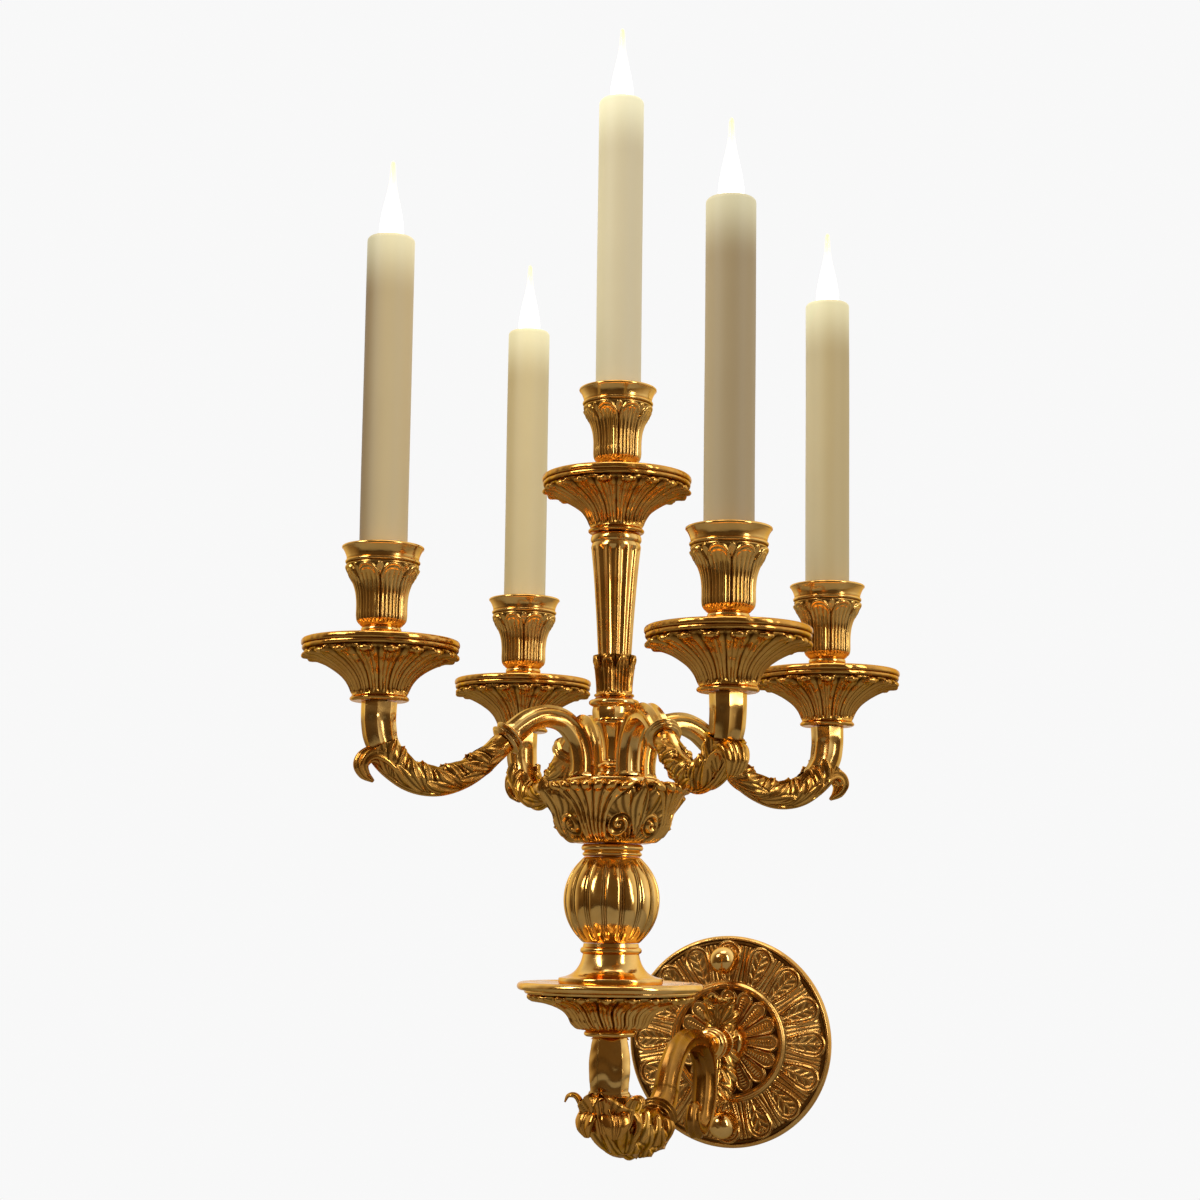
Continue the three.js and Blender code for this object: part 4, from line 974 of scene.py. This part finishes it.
# Branch arms, seen in their own frame: X runs out from the stem
lid_top = seat_of("basket_lid")[1]
SEAT = 176.0 - lid_top
FOOT_REACH = 17.6
SPREAD = BRANCH_REACH - FOOT_REACH
BRANCH_RADIUS = 8.7
TENON = 7.0
branch_shares = [
    (0.0, 0.0, 0.0), (0.0, 0.081, 0.0), (0.024, 0.174, 0.0), (0.094, 0.254, 0.0), (0.187, 0.275, 0.0),
    (0.271, 0.249, 0.0), (0.344, 0.193, 0.0), (0.408, 0.134, 0.0), (0.499, -0.049, 0.35), (0.61, -0.22, 0.7),
    (0.72, -0.337, 1.0), (0.83, -0.321, 1.0), (0.925, -0.26, 1.0), (0.982, -0.181, 1.0), (1.0, -0.099, 1.0),
]
branch_points = [(FOOT_REACH, -TENON)]
branch_points += [(FOOT_REACH + x * SPREAD, z * SPREAD + rise * SEAT) for x, z, rise in branch_shares]
branch_points.append((BRANCH_REACH, SEAT + 2.0))
branch_path = Path(branch_points)
branch_stations = [
    (0.0, 0.39), (TENON / branch_path.length, 0.39), (TENON / branch_path.length + 0.001, 0.68), (0.11, 0.68),
    (0.18, 0.68), (0.26, 0.68), (0.33, 0.7), (0.4, 0.72), (0.435, 0.62), (0.5, 0.63), (0.57, 0.68), (0.68, 0.74),
    (0.79, 0.78), (0.86, 0.88), (0.9, 0.96), (1.0, 1.0),
]
branch_radius = shares_to(branch_stations, BRANCH_RADIUS)
SEAT_SHARE = 1.0 - 2.0 / branch_path.length


def branch_ring(share, angle):
    foot = TENON / branch_path.length
    band = bump(0.408, 0.008, share) + bump(0.426, 0.008, share)
    end = smooth_step(foot + 0.012, foot + 0.006, share) * (share > foot)
    flat = smooth_step(0.02, 0.0, np.abs(share - 0.417) - 0.012)
    hollow = (
        0.10 * (1.0 - end) * (1.0 - np.clip(flat, 0, 1)) * (share > foot) * (1.0 - smooth_step(0.93, 0.96, share))
    )
    turned = octagon(angle, hollow) / math.cos(math.pi / 16)
    r = branch_radius(share) * turned
    collar = BRANCH_RADIUS * (0.86 + 0.17 * np.clip(band, 0.0, 1.0))
    on_collar = smooth_step(0.398, 0.401, share) * smooth_step(0.436, 0.433, share)
    return r * (1.0 - on_collar) + collar * on_collar + 0.5 * end


def branch_hollow(share, angle):
    # Painted shade in the middle of each hollowed face; patina and painted shade in the groove of the collar
    return 0.25 * (1.0 - np.abs(leaf_phase(angle, 8)) ** 2) + 0.6 * bump(0.417, 0.006, share)


branch_rows = np.unique(np.r_[np.linspace(0.0, SEAT_SHARE, 260), np.linspace(0.395, 0.44, 60)])
arm = swept("branch_shape", branch_path, branch_rows, branch_ring, branch_hollow, math.radians(24.0))

# Acanthus leaf wrapped round each arm, with toothed lobes and a tip that hooks outward
leaf_from, leaf_to = 0.437, 0.872
LEAF_LENGTH = (leaf_to - leaf_from) * branch_path.length
LEAF_LOBES = 4
LOBE_STEP = LEAF_LENGTH / (LEAF_LOBES + 0.6)
BRANCH_LOBES = []
for k in range(LEAF_LOBES, -2, -1):
    foot = (k - 0.3) * LOBE_STEP
    for sign in (-1.0, 1.0):
        for forward, outward, half in ((0.55, 23.0, 4.0), (1.0, 17.0, 4.2), (1.25, 9.5, 3.6)):
            BRANCH_LOBES.append((foot, sign * 1.0, foot + forward * LOBE_STEP, sign * outward, half, 1.6))
BRANCH_LOBES.append((-0.2 * LOBE_STEP, 0.0, 1.02 * LEAF_LENGTH, 0.0, 2.4, 1.7))


def branch_leaf_spread(share):
    t = (share - leaf_from) / (leaf_to - leaf_from)
    scallop = np.abs(np.sin(math.pi * (t * LEAF_LENGTH / LOBE_STEP - 0.35)))
    teeth = 0.016 * np.abs(np.sin(math.pi * 4.0 * t * LEAF_LENGTH / LOBE_STEP))
    return math.pi * (0.80 + 0.10 * scallop**0.6 + teeth - 0.16 * smooth_step(0.82, 1.0, t))


def branch_leaf_lift(share, v):
    t = (share - leaf_from) / (leaf_to - leaf_from)
    scallop = np.abs(np.sin(math.pi * (t * LEAF_LENGTH / LOBE_STEP - 0.35)))
    return -0.1 + 0.9 * np.abs(v) ** 6 * scallop * smooth_step(0.05, 0.2, t)


def branch_leaf_face(share, v):
    t = (share - leaf_from) / (leaf_to - leaf_from)
    across = v * branch_leaf_spread(share) * 7.6
    depth, hollow = lobes(t * LEAF_LENGTH + 0.0 * v, across, BRANCH_LOBES, 2)
    soft = smooth_step(0.0, 0.22, t)
    return 1.0 * soft * (depth - 0.6), hollow * (0.3 + 0.7 * soft)


def hooked_tip(name, points, widths, heights, ribs):
    """A narrow leaf tip that curls over: a flattened tube with ribs along it."""
    route = Path(points)
    places = np.linspace(0.0, 1.0, len(widths))

    def ring(share, angle):
        wide, high = np.interp(share, places, widths), np.interp(share, places, heights)
        oval = wide * high / np.sqrt((wide * np.cos(angle)) ** 2 + (high * np.sin(angle)) ** 2)
        return oval * (1.0 + 0.10 * np.cos(ribs * angle))

    def hollows(share, angle):
        return 0.6 * smooth_step(0.0, -0.9, np.cos(ribs * angle)) + 0.0 * share

    return swept(name, route, np.linspace(0.0, 1.0, 70), ring, hollows, CARVED_ANGLE)


leaf = merged(
    "branch_leaf_shape",
    wrapped_leaf(
        "sheath", branch_path, np.linspace(leaf_from, leaf_to, 240), branch_leaf_spread, branch_leaf_lift,
        branch_radius, 1.0, branch_leaf_face, 128,
    ),
    hooked_tip(
        "hook",
        [
            (114.0, -3.5), (119.0, 1.6), (124.0, 5.2), (129.4, 6.6), (133.4, 4.6), (135.0, 0.8),
            (133.2, -3.2), (128.6, -6.6),
        ],
        [6.4, 8.2, 8.6, 8.2, 7.4, 6.2, 4.4, 1.2],
        [3.6, 4.6, 4.6, 4.2, 3.8, 3.3, 2.4, 0.8],
        10,
    ),
)
for place, turn in PLACES.items():
    base = (0.0, -STEM_REACH, lid_top + 0.3)
    settle(
        copy_of(arm, "branch_" + place + "_dressed"), polished, ["branch_" + place],
        "root", base, turn,
    )
    settle(
        copy_of(leaf, "branch_leaf_" + place + "_dressed"), chased, ["branch_leaf_" + place], "root", base, turn
    )
for shape in (arm, leaf):
    bpy.data.objects.remove(shape)

# Bracket arm with its leaves, seen in its own frame: X runs from the stem to the wall
BRACKET_RADIUS = 11.0
BRACKET_START = -0.0695
bracket_shares = [
    (0.0, BRACKET_START), (0.0, -0.105), (0.04, -0.147), (0.127, -0.176), (0.224, -0.188), (0.33, -0.172),
    (0.408, -0.125), (0.456, -0.052), (0.527, 0.005), (0.624, 0.022), (0.715, 0.0), (0.76, -0.06),
    (0.756, -0.146), (0.727, -0.208), (0.683, -0.225), (0.653, -0.197), (0.664, -0.164), (0.69, -0.168),
]
bracket_path = Path([(x * STEM_REACH, z * STEM_REACH) for x, z in bracket_shares])
bracket_stations = [
    (0.0, 0.95), (0.038, 0.92), (0.075, 0.9), (0.151, 0.9), (0.198, 0.88), (0.245, 0.85), (0.278, 0.81),
    (0.311, 0.78), (0.325, 0.72), (0.368, 0.68), (0.424, 0.62), (0.49, 0.58), (0.557, 0.58), (0.623, 0.6),
    (0.689, 0.62), (0.755, 0.64), (0.82, 0.64), (0.865, 0.58), (0.9, 0.52), (0.93, 0.44), (0.965, 0.36), (1.0, 0.3),
]
bracket_radius = shares_to(bracket_stations, BRACKET_RADIUS)


def bracket_ring(share, angle):
    collar = BRACKET_RADIUS * (
        0.8 + 0.16 * np.clip(bump(0.335, 0.008, share) + bump(0.35, 0.008, share), 0.0, 1.0)
    )
    on_collar = smooth_step(0.323, 0.327, share) * smooth_step(0.362, 0.358, share)
    r = bracket_radius(share) * octagon(angle, 0.1) / math.cos(math.pi / 16)
    return r * (1.0 - on_collar) + collar * on_collar


foot_share = (BRACKET_START * STEM_REACH - POST_FOOT_HEIGHT) / bracket_path.length
bracket_rows = np.unique(np.r_[np.linspace(foot_share, 1.0, 320), np.linspace(0.32, 0.365, 50)])
bracket = swept(
    "bracket_arm_dressed", bracket_path, bracket_rows, bracket_ring, branch_hollow, math.radians(24.0),
)
bracket_turn = math.pi / 2
bracket_base = (0.0, -STEM_REACH, 0.0)
# The bracket arm takes the darker copy of the gilt as painted shade
settle(bracket, shaded_gilt, ["bracket_arm"], "root", bracket_base, bracket_turn)

elbow_from, elbow_to = 0.004, 0.309
ELBOW_LENGTH = (elbow_to - elbow_from) * bracket_path.length
ELBOW_FOLDS = 4
ELBOW_STEP = ELBOW_LENGTH / ELBOW_FOLDS
ELBOW_LOBES = []
for k in range(0, ELBOW_FOLDS + 2):
    for sign in (-1.0, 1.0):
        for forward, outward, half in ((-0.1, 26.0, 5.4), (-0.9, 21.0, 5.6), (-1.3, 10.0, 4.6)):
            foot = (k + 0.6) * ELBOW_STEP
            ELBOW_LOBES.append((foot, sign * 1.0, foot + forward * ELBOW_STEP, sign * outward, half, 3.4))
ELBOW_LOBES.append((1.02 * ELBOW_LENGTH, 0.0, -0.04 * ELBOW_LENGTH, 0.0, 2.6, 3.4))


def elbow_spread(share):
    t = (share - elbow_from) / (elbow_to - elbow_from)
    wide = 0.76 - 0.34 * smooth_step(0.6, 1.0, t) - 0.66 * smooth_step(0.16, 0.0, t)
    lobes_out = 0.15 * np.abs(np.sin(math.pi * ELBOW_FOLDS * t)) ** 0.5
    teeth = 0.035 * np.abs(np.sin(math.pi * 4.0 * ELBOW_FOLDS * t))
    return math.pi * np.clip(wide + (lobes_out + teeth) * smooth_step(0.0, 0.12, t) - 0.05, 0.02, 0.94)


def elbow_lift(share, v):
    t = (share - elbow_from) / (elbow_to - elbow_from)
    tip = 5.0 * smooth_step(0.10, 0.0, t)
    frill = 2.6 * np.abs(v) ** 3 * np.abs(np.sin(math.pi * ELBOW_FOLDS * t)) * smooth_step(0.0, 0.1, t)
    return 0.6 + tip + frill + 0.5 * np.sin(9.0 * v + 2.0 * math.pi * ELBOW_FOLDS * t)


def elbow_face(share, v):
    t = (share - elbow_from) / (elbow_to - elbow_from)
    across = v * elbow_spread(share) * 11.5
    depth, hollow = lobes(t * ELBOW_LENGTH + 0.0 * v, across, ELBOW_LOBES, 2)
    return depth - 1.3, hollow


CURLED_TIPS = []
for tip_turn in (180.0, 108.0, -108.0):
    tip = hooked_tip(
        "curled_tip",
        [(9.0, -34.0), (12.6, -27.0), (14.2, -20.4), (17.2, -16.6), (20.6, -16.8), (22.4, -20.0)],
        [5.6, 6.2, 5.6, 4.6, 3.2, 0.7], [1.6, 1.8, 1.7, 1.5, 1.2, 0.4], 8,
    )
    tip.data.transform(Matrix.Rotation(math.radians(tip_turn), 4, "Z"))
    CURLED_TIPS.append(tip)
for tip_turn in (146.0, -146.0, 72.0, -72.0):
    tip = hooked_tip(
        "curled_tip",
        [(8.6, -24.0), (12.4, -25.4), (14.8, -28.8), (15.0, -32.6), (13.2, -36.4)],
        [7.4, 8.6, 8.4, 6.4, 2.4], [2.0, 2.2, 1.9, 1.5, 0.8], 10,
    )
    tip.data.transform(Matrix.Rotation(math.radians(tip_turn), 4, "Z"))
    CURLED_TIPS.append(tip)
elbow = wrapped_leaf(
    "elbow_wrap", bracket_path, np.linspace(elbow_from, elbow_to, 240), elbow_spread, elbow_lift,
    bracket_radius, 2.2, elbow_face, 144,
)
elbow = merged("bracket_elbow_leaf_dressed", elbow, *CURLED_TIPS)
settle(elbow, chased, ["bracket_elbow_leaf"], "root", bracket_base, bracket_turn)

# Wall plate, carved as a height over its face
PLATE_RADIUS = 62.3
STUD_OFFSET = 48.0


def plate_height(r, angle):
    """Height out of the wall and cavity at a radius and angle."""
    u = leaf_phase(angle, 16)
    across = u * math.pi * r / 16
    base = np.interp(
        r, [0, 12, 31.6, 32.8, 33.8, 35.0, 36.6, 58.6, 60.2, 61.3, 62.3],
        [5.2, 5.2, 5.0, 6.3, 6.3, 5.0, 4.2, 4.4, 5.4, 5.2, 3.8],
    )
    half = np.interp(r, [36, 42, 48, 54], [2.9, 4.8, 6.4, 7.2])
    along = np.clip((r - 52.2) / 6.6, 0.0, 2.0)
    rho = np.where(r > 52.2, np.hypot(across / half, along), np.abs(across) / half)
    field = smooth_step(35.6, 36.2, r) * smooth_step(60.4, 59.8, r)
    outline = 1.1 * bump(1.0, 0.15, rho) + 0.6 * bump(0.72, 0.12, rho)
    leaflet = np.cos(TURN * (r - 1.1 * np.abs(across)) / 4.8)
    inside = smooth_step(0.68, 0.56, rho)
    veins = smooth_step(0.0, 1.0, leaflet) * smooth_step(0.2, 0.8, np.abs(across))
    sprig = inside * np.maximum(bump(0.0, 0.9, across), 0.8 * veins) * smooth_step(58.4, 55.4, r)
    outer = smooth_step(1.1, 1.22, rho)
    gap = np.abs(leaf_phase(angle, 16, TURN / 32)) * math.pi * r / 16
    gap_share = gap / np.maximum(math.pi * r / 16 - half, 0.8)
    lines = outer * (0.5 + 0.5 * np.cos(TURN * 1.5 * gap_share)) * smooth_step(57.8, 56.4, r)
    bar = outer * bump(58.4, 1.2, r)
    height = base + field * (outline + 0.7 * sprig + 0.7 * lines + bar - 0.35 * inside - 0.35 * outer)
    # Patina and painted shade in the hollows of the carving, inside the leaf outlines and along the ring lines
    dark = 0.6 * inside * smooth_step(0.4, 0.0, sprig) + 0.9 * bump(0.86, 0.08, rho)
    hollow = field * np.clip(dark + 0.9 * outer * smooth_step(0.35, 0.0, lines), 0.0, 1.0)
    petal_zone = smooth_step(11.5, 12.5, r) * smooth_step(31.4, 30.8, r)
    petal_half = np.interp(r, [11, 26], [1.9, 4.8])
    petal = np.hypot(across / petal_half, np.clip((r - 26.0) / 4.9, 0.0, 2.0))
    rim = bump(0.92, 0.16, petal)
    beads = smooth_step(0.42, 0.2, petal) * (0.5 + 0.5 * np.cos(TURN * r / 1.7))
    rosette = petal_zone * (1.0 * smooth_step(1.05, 0.9, petal) + 0.6 * rim + 0.3 * beads - 0.7)
    hollow = hollow + petal_zone * np.clip(
        smooth_step(1.0, 1.15, petal) + 0.7 * bump(0.68, 0.12, petal), 0.0, 1.0,
    )
    ring_line = bump(31.8, 0.6, r) + bump(35.6, 0.7, r) + bump(60.0, 0.6, r)
    upper_seat = np.hypot(r * np.sin(angle) - STUD_OFFSET, r * np.cos(angle))
    lower_seat = np.hypot(r * np.sin(angle) + STUD_OFFSET, r * np.cos(angle))
    seats = np.minimum(upper_seat, lower_seat)
    flat = smooth_step(7.2, 6.8, seats)
    height = (height + rosette) * (1.0 - flat) + 4.9 * flat
    hollow = np.clip(hollow + 0.7 * ring_line, 0.0, 1.0) * (1.0 - flat)
    return np.clip(height, 0.0, 7.8), hollow


plate_rows = np.r_[np.linspace(5.0, 12.0, 8), np.linspace(12.4, 62.0, 230), 62.15, PLATE_RADIUS]
plate_columns = 16 * 56
angle = np.linspace(0.0, TURN, plate_columns, endpoint=False)[None, :]
r = plate_rows[:, None] + 0.0 * angle
out, hollow = plate_height(r, angle + 0.0 * r)
edge_r = np.array([[PLATE_RADIUS], [PLATE_RADIUS - 0.6], [5.0]]) + 0.0 * angle
edge_out = np.array([[1.0], [0.0], [0.0]]) + 0.0 * angle
r, out = np.vstack([r, edge_r]), np.vstack([out, edge_out])
hollow = np.vstack([hollow, np.zeros_like(edge_r)])
plate_points = np.stack([r * np.cos(angle), -out, r * np.sin(angle)], axis=2).reshape(-1, 3)
plate = make_object(
    "wall_plate_dressed", plate_points, grid_faces(len(r), plate_columns, along=True), hollow.ravel(), CARVED_ANGLE
)
settle(plate, plate_gilt, ["wall_plate"])

# Ball nuts on their studs
nut_outline = profile(
    [(BORE / 2, 0.0), (5.6, 0.0)],
    [(5.6, 0.0), (5.8, 1.2), (5.2, 2.2)],
    [(5.2, 2.2), (4.0, 2.8), (4.2, 3.4)],
    [(4.2, 3.4), (6.6, 5.4), (7.9, 8.6), (7.9, 11.4), (6.8, 14.6), (4.6, 17.2), (2.0, 18.3), (0.02, 18.4)],
    spacing=0.4,
)
for place, sign in (("upper", 1.0), ("lower", -1.0)):
    nut = revolve("ball_nut_" + place + "_dressed", nut_outline, 64)
    nut.data.transform(Matrix.Rotation(math.pi / 2, 4, "X"))
    settle(
        nut, polished, ["ball_nut_" + place], "nut_" + place, (0.0, -5.3, sign * STUD_OFFSET)
    )

# Boss between the wall plate and the rear limb, with the upright leaf that clasps it
boss_near, boss_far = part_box("bracket_boss")[0][1] / MM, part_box("bracket_boss")[1][1] / MM
BOSS = boss_far - boss_near
boss_outline = profile(
    [(0.02, 0.0), (9.6, 0.0)],
    [(9.6, 0.0), (10.4, 0.8), (10.4, 3.4), (9.4, 4.8), (8.3, 5.4)],
    [(8.3, 5.4), (8.8, 10.0), (9.0, BOSS - 26.0)],
    [(9.0, BOSS - 26.0), (9.5, BOSS - 25.4), (9.5, BOSS - 24.2), (9.0, BOSS - 23.6)],
    [(9.0, BOSS - 23.6), (9.0, BOSS - 14.0)],
    [(9.0, BOSS - 14.0), (9.4, BOSS - 13.5), (9.4, BOSS - 12.5), (8.9, BOSS - 12.0)],
    [(8.9, BOSS - 12.0), (8.9, BOSS - 8.4), (8.2, BOSS - 7.4)],
    [(8.2, BOSS - 7.4), (6.7, BOSS - 6.6), (6.5, BOSS - 0.5)],
    [(6.5, BOSS - 0.5), (0.02, BOSS - 0.4)],
    spacing=0.4,
)


def boss_relief(angle, r, z, place):
    return (
        0.12 * np.sin(4.0 * angle) + 0.0 * z,
        0.7 * bump(5.4, 0.8, z) + 0.5 * bump(BOSS - 23.4, 0.5, z) + 0.5 * bump(BOSS - 14.2, 0.5, z)
    )


boss = revolve("bracket_boss_dressed", boss_outline, 96, boss_relief)
boss.data.transform(Matrix.Rotation(math.pi / 2, 4, "X"))
settle(boss, polished, ["bracket_boss"], "root", (0.0, boss_far, 0.0))

CLASP_RADIUS = 8.0
clasp_shares = [(0.875, 0.175), (0.915, 0.13), (0.925, 0.05), (0.92, -0.05), (0.9, -0.13), (0.87, -0.2)]
clasp_path = Path([(x * STEM_REACH, z * STEM_REACH) for x, z in clasp_shares])
CLASP_STEP = clasp_path.length / 7.0
CLASP_LOBES = []
for k in range(0, 4):
    for sign in (-1.0, 1.0):
        for way, foot in (
            (-1.0, 0.5 * clasp_path.length - k * CLASP_STEP),
            (1.0, 0.5 * clasp_path.length + k * CLASP_STEP)
        ):
            for forward, outward in ((0.8, 13.0), (1.5, 7.0)):
                CLASP_LOBES.append(
                    (foot, sign * 0.8, foot + way * forward * CLASP_STEP, sign * outward, 3.4, 1.7)
                )
CLASP_LOBES.append((0.0, 0.0, clasp_path.length, 0.0, 1.8, 1.9))


def clasp_spread(share):
    wide = np.interp(
        share, [0.0, 0.08, 0.2, 0.35, 0.65, 0.8, 0.92, 1.0],
        [0.05, 0.28, 0.40, 0.46, 0.46, 0.40, 0.28, 0.05],
    )
    return math.pi * (
        wide
        + 0.07 * np.abs(np.sin(7.0 * math.pi * share)) * smooth_step(0.0, 0.1, share) * smooth_step(1.0, 0.9, share)
    )


def clasp_lift(share, v):
    return 3.0 * smooth_step(0.12, 0.0, share) + 3.0 * smooth_step(0.88, 1.0, share) + 1.2 * np.abs(v) ** 3


def clasp_face(share, v):
    depth, hollow = lobes(
        share * clasp_path.length + 0.0 * v, v * clasp_spread(share) * CLASP_RADIUS, CLASP_LOBES, 2,
    )
    return depth - 0.7, hollow


clasp = wrapped_leaf(
    "bracket_back_leaf_dressed", clasp_path, np.linspace(0.0, 1.0, 150), clasp_spread, clasp_lift,
    lambda share: CLASP_RADIUS + 0.0 * share, 1.8, clasp_face, 72,
)
settle(clasp, chased, ["bracket_back_leaf"], "root", bracket_base, bracket_turn)

# Solids that keep their own shape
for name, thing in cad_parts.items():
    if name.startswith(("wall_stud", "centre_tube")):
        finish = steel
    elif name.startswith("lampholder"):
        finish = porcelain
    else:
        continue
    for slot_place in thing.material_slots:
        slot_place.material = finish

# Floor, light and camera
FLOOR_HEIGHT = -0.42
FLOOR_RADIUS = 1.6
BACKDROP = (0.94, 0.94, 0.94)


def round_floor():
    """A pale disc that takes the object's shadow and fades into the backdrop at its edge."""
    rings, sides = 12, 64
    angle = np.linspace(0.0, TURN, sides, endpoint=False)
    points = [(0.0, 0.0, 0.0)]
    for i in range(1, rings + 1):
        reach = FLOOR_RADIUS * i / rings
        points += [(reach * math.cos(a), reach * math.sin(a), 0.0) for a in angle]
    faces = [(0, 1 + j, 1 + (j + 1) % sides) for j in range(sides)]
    for i in range(rings - 1):
        here, there = 1 + i * sides, 1 + (i + 1) * sides
        for j in range(sides):
            k = (j + 1) % sides
            faces.append((here + j, there + j, there + k, here + k))
    mesh = bpy.data.meshes.new("floor")
    mesh.from_pydata(points, [], faces)
    thing = bpy.data.objects.new("floor", mesh)
    thing.location = (0.0, -STEM_REACH * MM, FLOOR_HEIGHT)
    bpy.context.scene.collection.objects.link(thing)
    material, tree, shader = plain_finish(
        "floor_white", ((0.86, 0.86, 0.86), (0.9, 0.9, 0.9)), 3.0, (0.6, 0.7),
    )
    link = tree.links.new
    where = add(tree, "ShaderNodeTexCoord")
    length = add(tree, "ShaderNodeVectorMath", operation="LENGTH")
    link(where.outputs["Object"], length.inputs[0])
    edge = add(tree, "ShaderNodeMapRange", interpolation_type="SMOOTHSTEP")
    link(length.outputs["Value"], edge.inputs["Value"])
    fill(edge, {"From Min": 0.35 * FLOOR_RADIUS, "From Max": 0.95 * FLOOR_RADIUS})
    backdrop = add(tree, "ShaderNodeEmission")
    backdrop.inputs["Color"].default_value = (*BACKDROP, 1.0)
    both = add(tree, "ShaderNodeMixShader")
    link(edge.outputs["Result"], both.inputs[0])
    link(shader.outputs[0], both.inputs[1])
    link(backdrop.outputs[0], both.inputs[2])
    seen = add(tree, "ShaderNodeLightPath")
    dim = add(tree, "ShaderNodeBsdfDiffuse")
    dim.inputs["Color"].default_value = (0.30, 0.28, 0.26, 1.0)
    shown = add(tree, "ShaderNodeMixShader")
    link(seen.outputs["Is Camera Ray"], shown.inputs[0])
    link(dim.outputs[0], shown.inputs[1])
    link(both.outputs[0], shown.inputs[2])
    link(shown.outputs[0], tree.nodes["Material Output"].inputs["Surface"])
    mesh.materials.append(material)


round_floor()

world = bpy.data.worlds.new("studio")
bpy.context.scene.world = world
world.use_nodes = True
tree = world.node_tree
tree.nodes.clear()
output = add(tree, "ShaderNodeOutputWorld")
path = add(tree, "ShaderNodeLightPath")
room = add(tree, "ShaderNodeBackground")
fill(room, {"Color": (0.93, 0.96, 1.0, 1.0), "Strength": 0.55})
where = add(tree, "ShaderNodeTexCoord")
split = add(tree, "ShaderNodeSeparateXYZ")
tree.links.new(where.outputs["Generated"], split.inputs[0])
behind = add(tree, "ShaderNodeMapRange")
tree.links.new(split.outputs["Y"], behind.inputs["Value"])
fill(behind, {"From Min": -0.55, "From Max": 0.45, "To Min": 0.12, "To Max": 1.0})
below = add(tree, "ShaderNodeMapRange")
tree.links.new(split.outputs["Z"], below.inputs["Value"])
fill(below, {"From Min": -0.5, "From Max": 0.12, "To Min": 0.2})
both_ways = add(tree, "ShaderNodeMath", operation="MULTIPLY")
tree.links.new(behind.outputs["Result"], both_ways.inputs[0])
tree.links.new(below.outputs["Result"], both_ways.inputs[1])
shine = add(tree, "ShaderNodeBackground")
glow_tone = ramp(
    tree, both_ways.outputs[0], [(0.05, (1.0, 0.58, 0.22)), (0.3, (1.0, 0.8, 0.54)), (0.72, (1.0, 1.0, 1.0))]
)
tree.links.new(glow_tone.outputs["Color"], shine.inputs["Color"])
tree.links.new(both_ways.outputs[0], shine.inputs["Strength"])
backdrop = add(tree, "ShaderNodeBackground")
fill(backdrop, {"Color": (*BACKDROP, 1.0), "Strength": 1.0})
glossy = add(tree, "ShaderNodeMath", operation="MAXIMUM")
tree.links.new(path.outputs["Is Glossy Ray"], glossy.inputs[0])
tree.links.new(path.outputs["Is Transmission Ray"], glossy.inputs[1])
first = add(tree, "ShaderNodeMixShader")
tree.links.new(glossy.outputs[0], first.inputs[0])
tree.links.new(room.outputs[0], first.inputs[1])
tree.links.new(shine.outputs[0], first.inputs[2])
second = add(tree, "ShaderNodeMixShader")
tree.links.new(path.outputs["Is Camera Ray"], second.inputs[0])
tree.links.new(first.outputs[0], second.inputs[1])
tree.links.new(backdrop.outputs[0], second.inputs[2])
tree.links.new(second.outputs[0], output.inputs["Surface"])


def softbox(name, place, size, watts, aim=(0.0, -0.15, 0.2)):
    lamp = bpy.data.lights.new(name, "AREA")
    lamp.shape = "RECTANGLE"
    lamp.size, lamp.size_y = size
    lamp.energy = watts
    thing = bpy.data.objects.new(name, lamp)
    thing.location = place
    thing.rotation_euler = (Vector(aim) - Vector(place)).to_track_quat("-Z", "Y").to_euler()
    bpy.context.scene.collection.objects.link(thing)
    return thing


softbox("key_softbox", (-1.1, -1.5, 1.3), (0.6, 1.0), 18.0)
softbox("side_softbox", (1.6, -0.7, 0.7), (0.3, 1.3), 10.0)
softbox("top_softbox", (0.1, -0.3, 1.9), (1.2, 0.8), 9.0)

CAMERA_PLACE = (0.37313, -1.19899, 0.07574)
FOCAL_LENGTH = 62.07
HEADING, PITCH, ROLL = math.radians(20.98), math.radians(6.605), math.radians(0.775)
forward = Vector((-math.sin(HEADING) * math.cos(PITCH), math.cos(HEADING) * math.cos(PITCH), math.sin(PITCH)))
right = Vector((math.cos(HEADING), math.sin(HEADING), 0.0))
up = right.cross(forward)
right_rolled = right * math.cos(ROLL) + up * math.sin(ROLL)
up_rolled = up * math.cos(ROLL) - right * math.sin(ROLL)
camera_data = bpy.data.cameras.new("camera")
camera_data.lens = FOCAL_LENGTH
camera_data.sensor_width = 36.0
camera_data.shift_y = 0.06
camera = bpy.data.objects.new("camera", camera_data)
basis = Matrix((right_rolled, up_rolled, -forward)).transposed().to_4x4()
camera.matrix_world = Matrix.Translation(CAMERA_PLACE) @ basis
bpy.context.scene.collection.objects.link(camera)
bpy.context.scene.camera = camera
bpy.context.scene.view_settings.view_transform = "Standard"
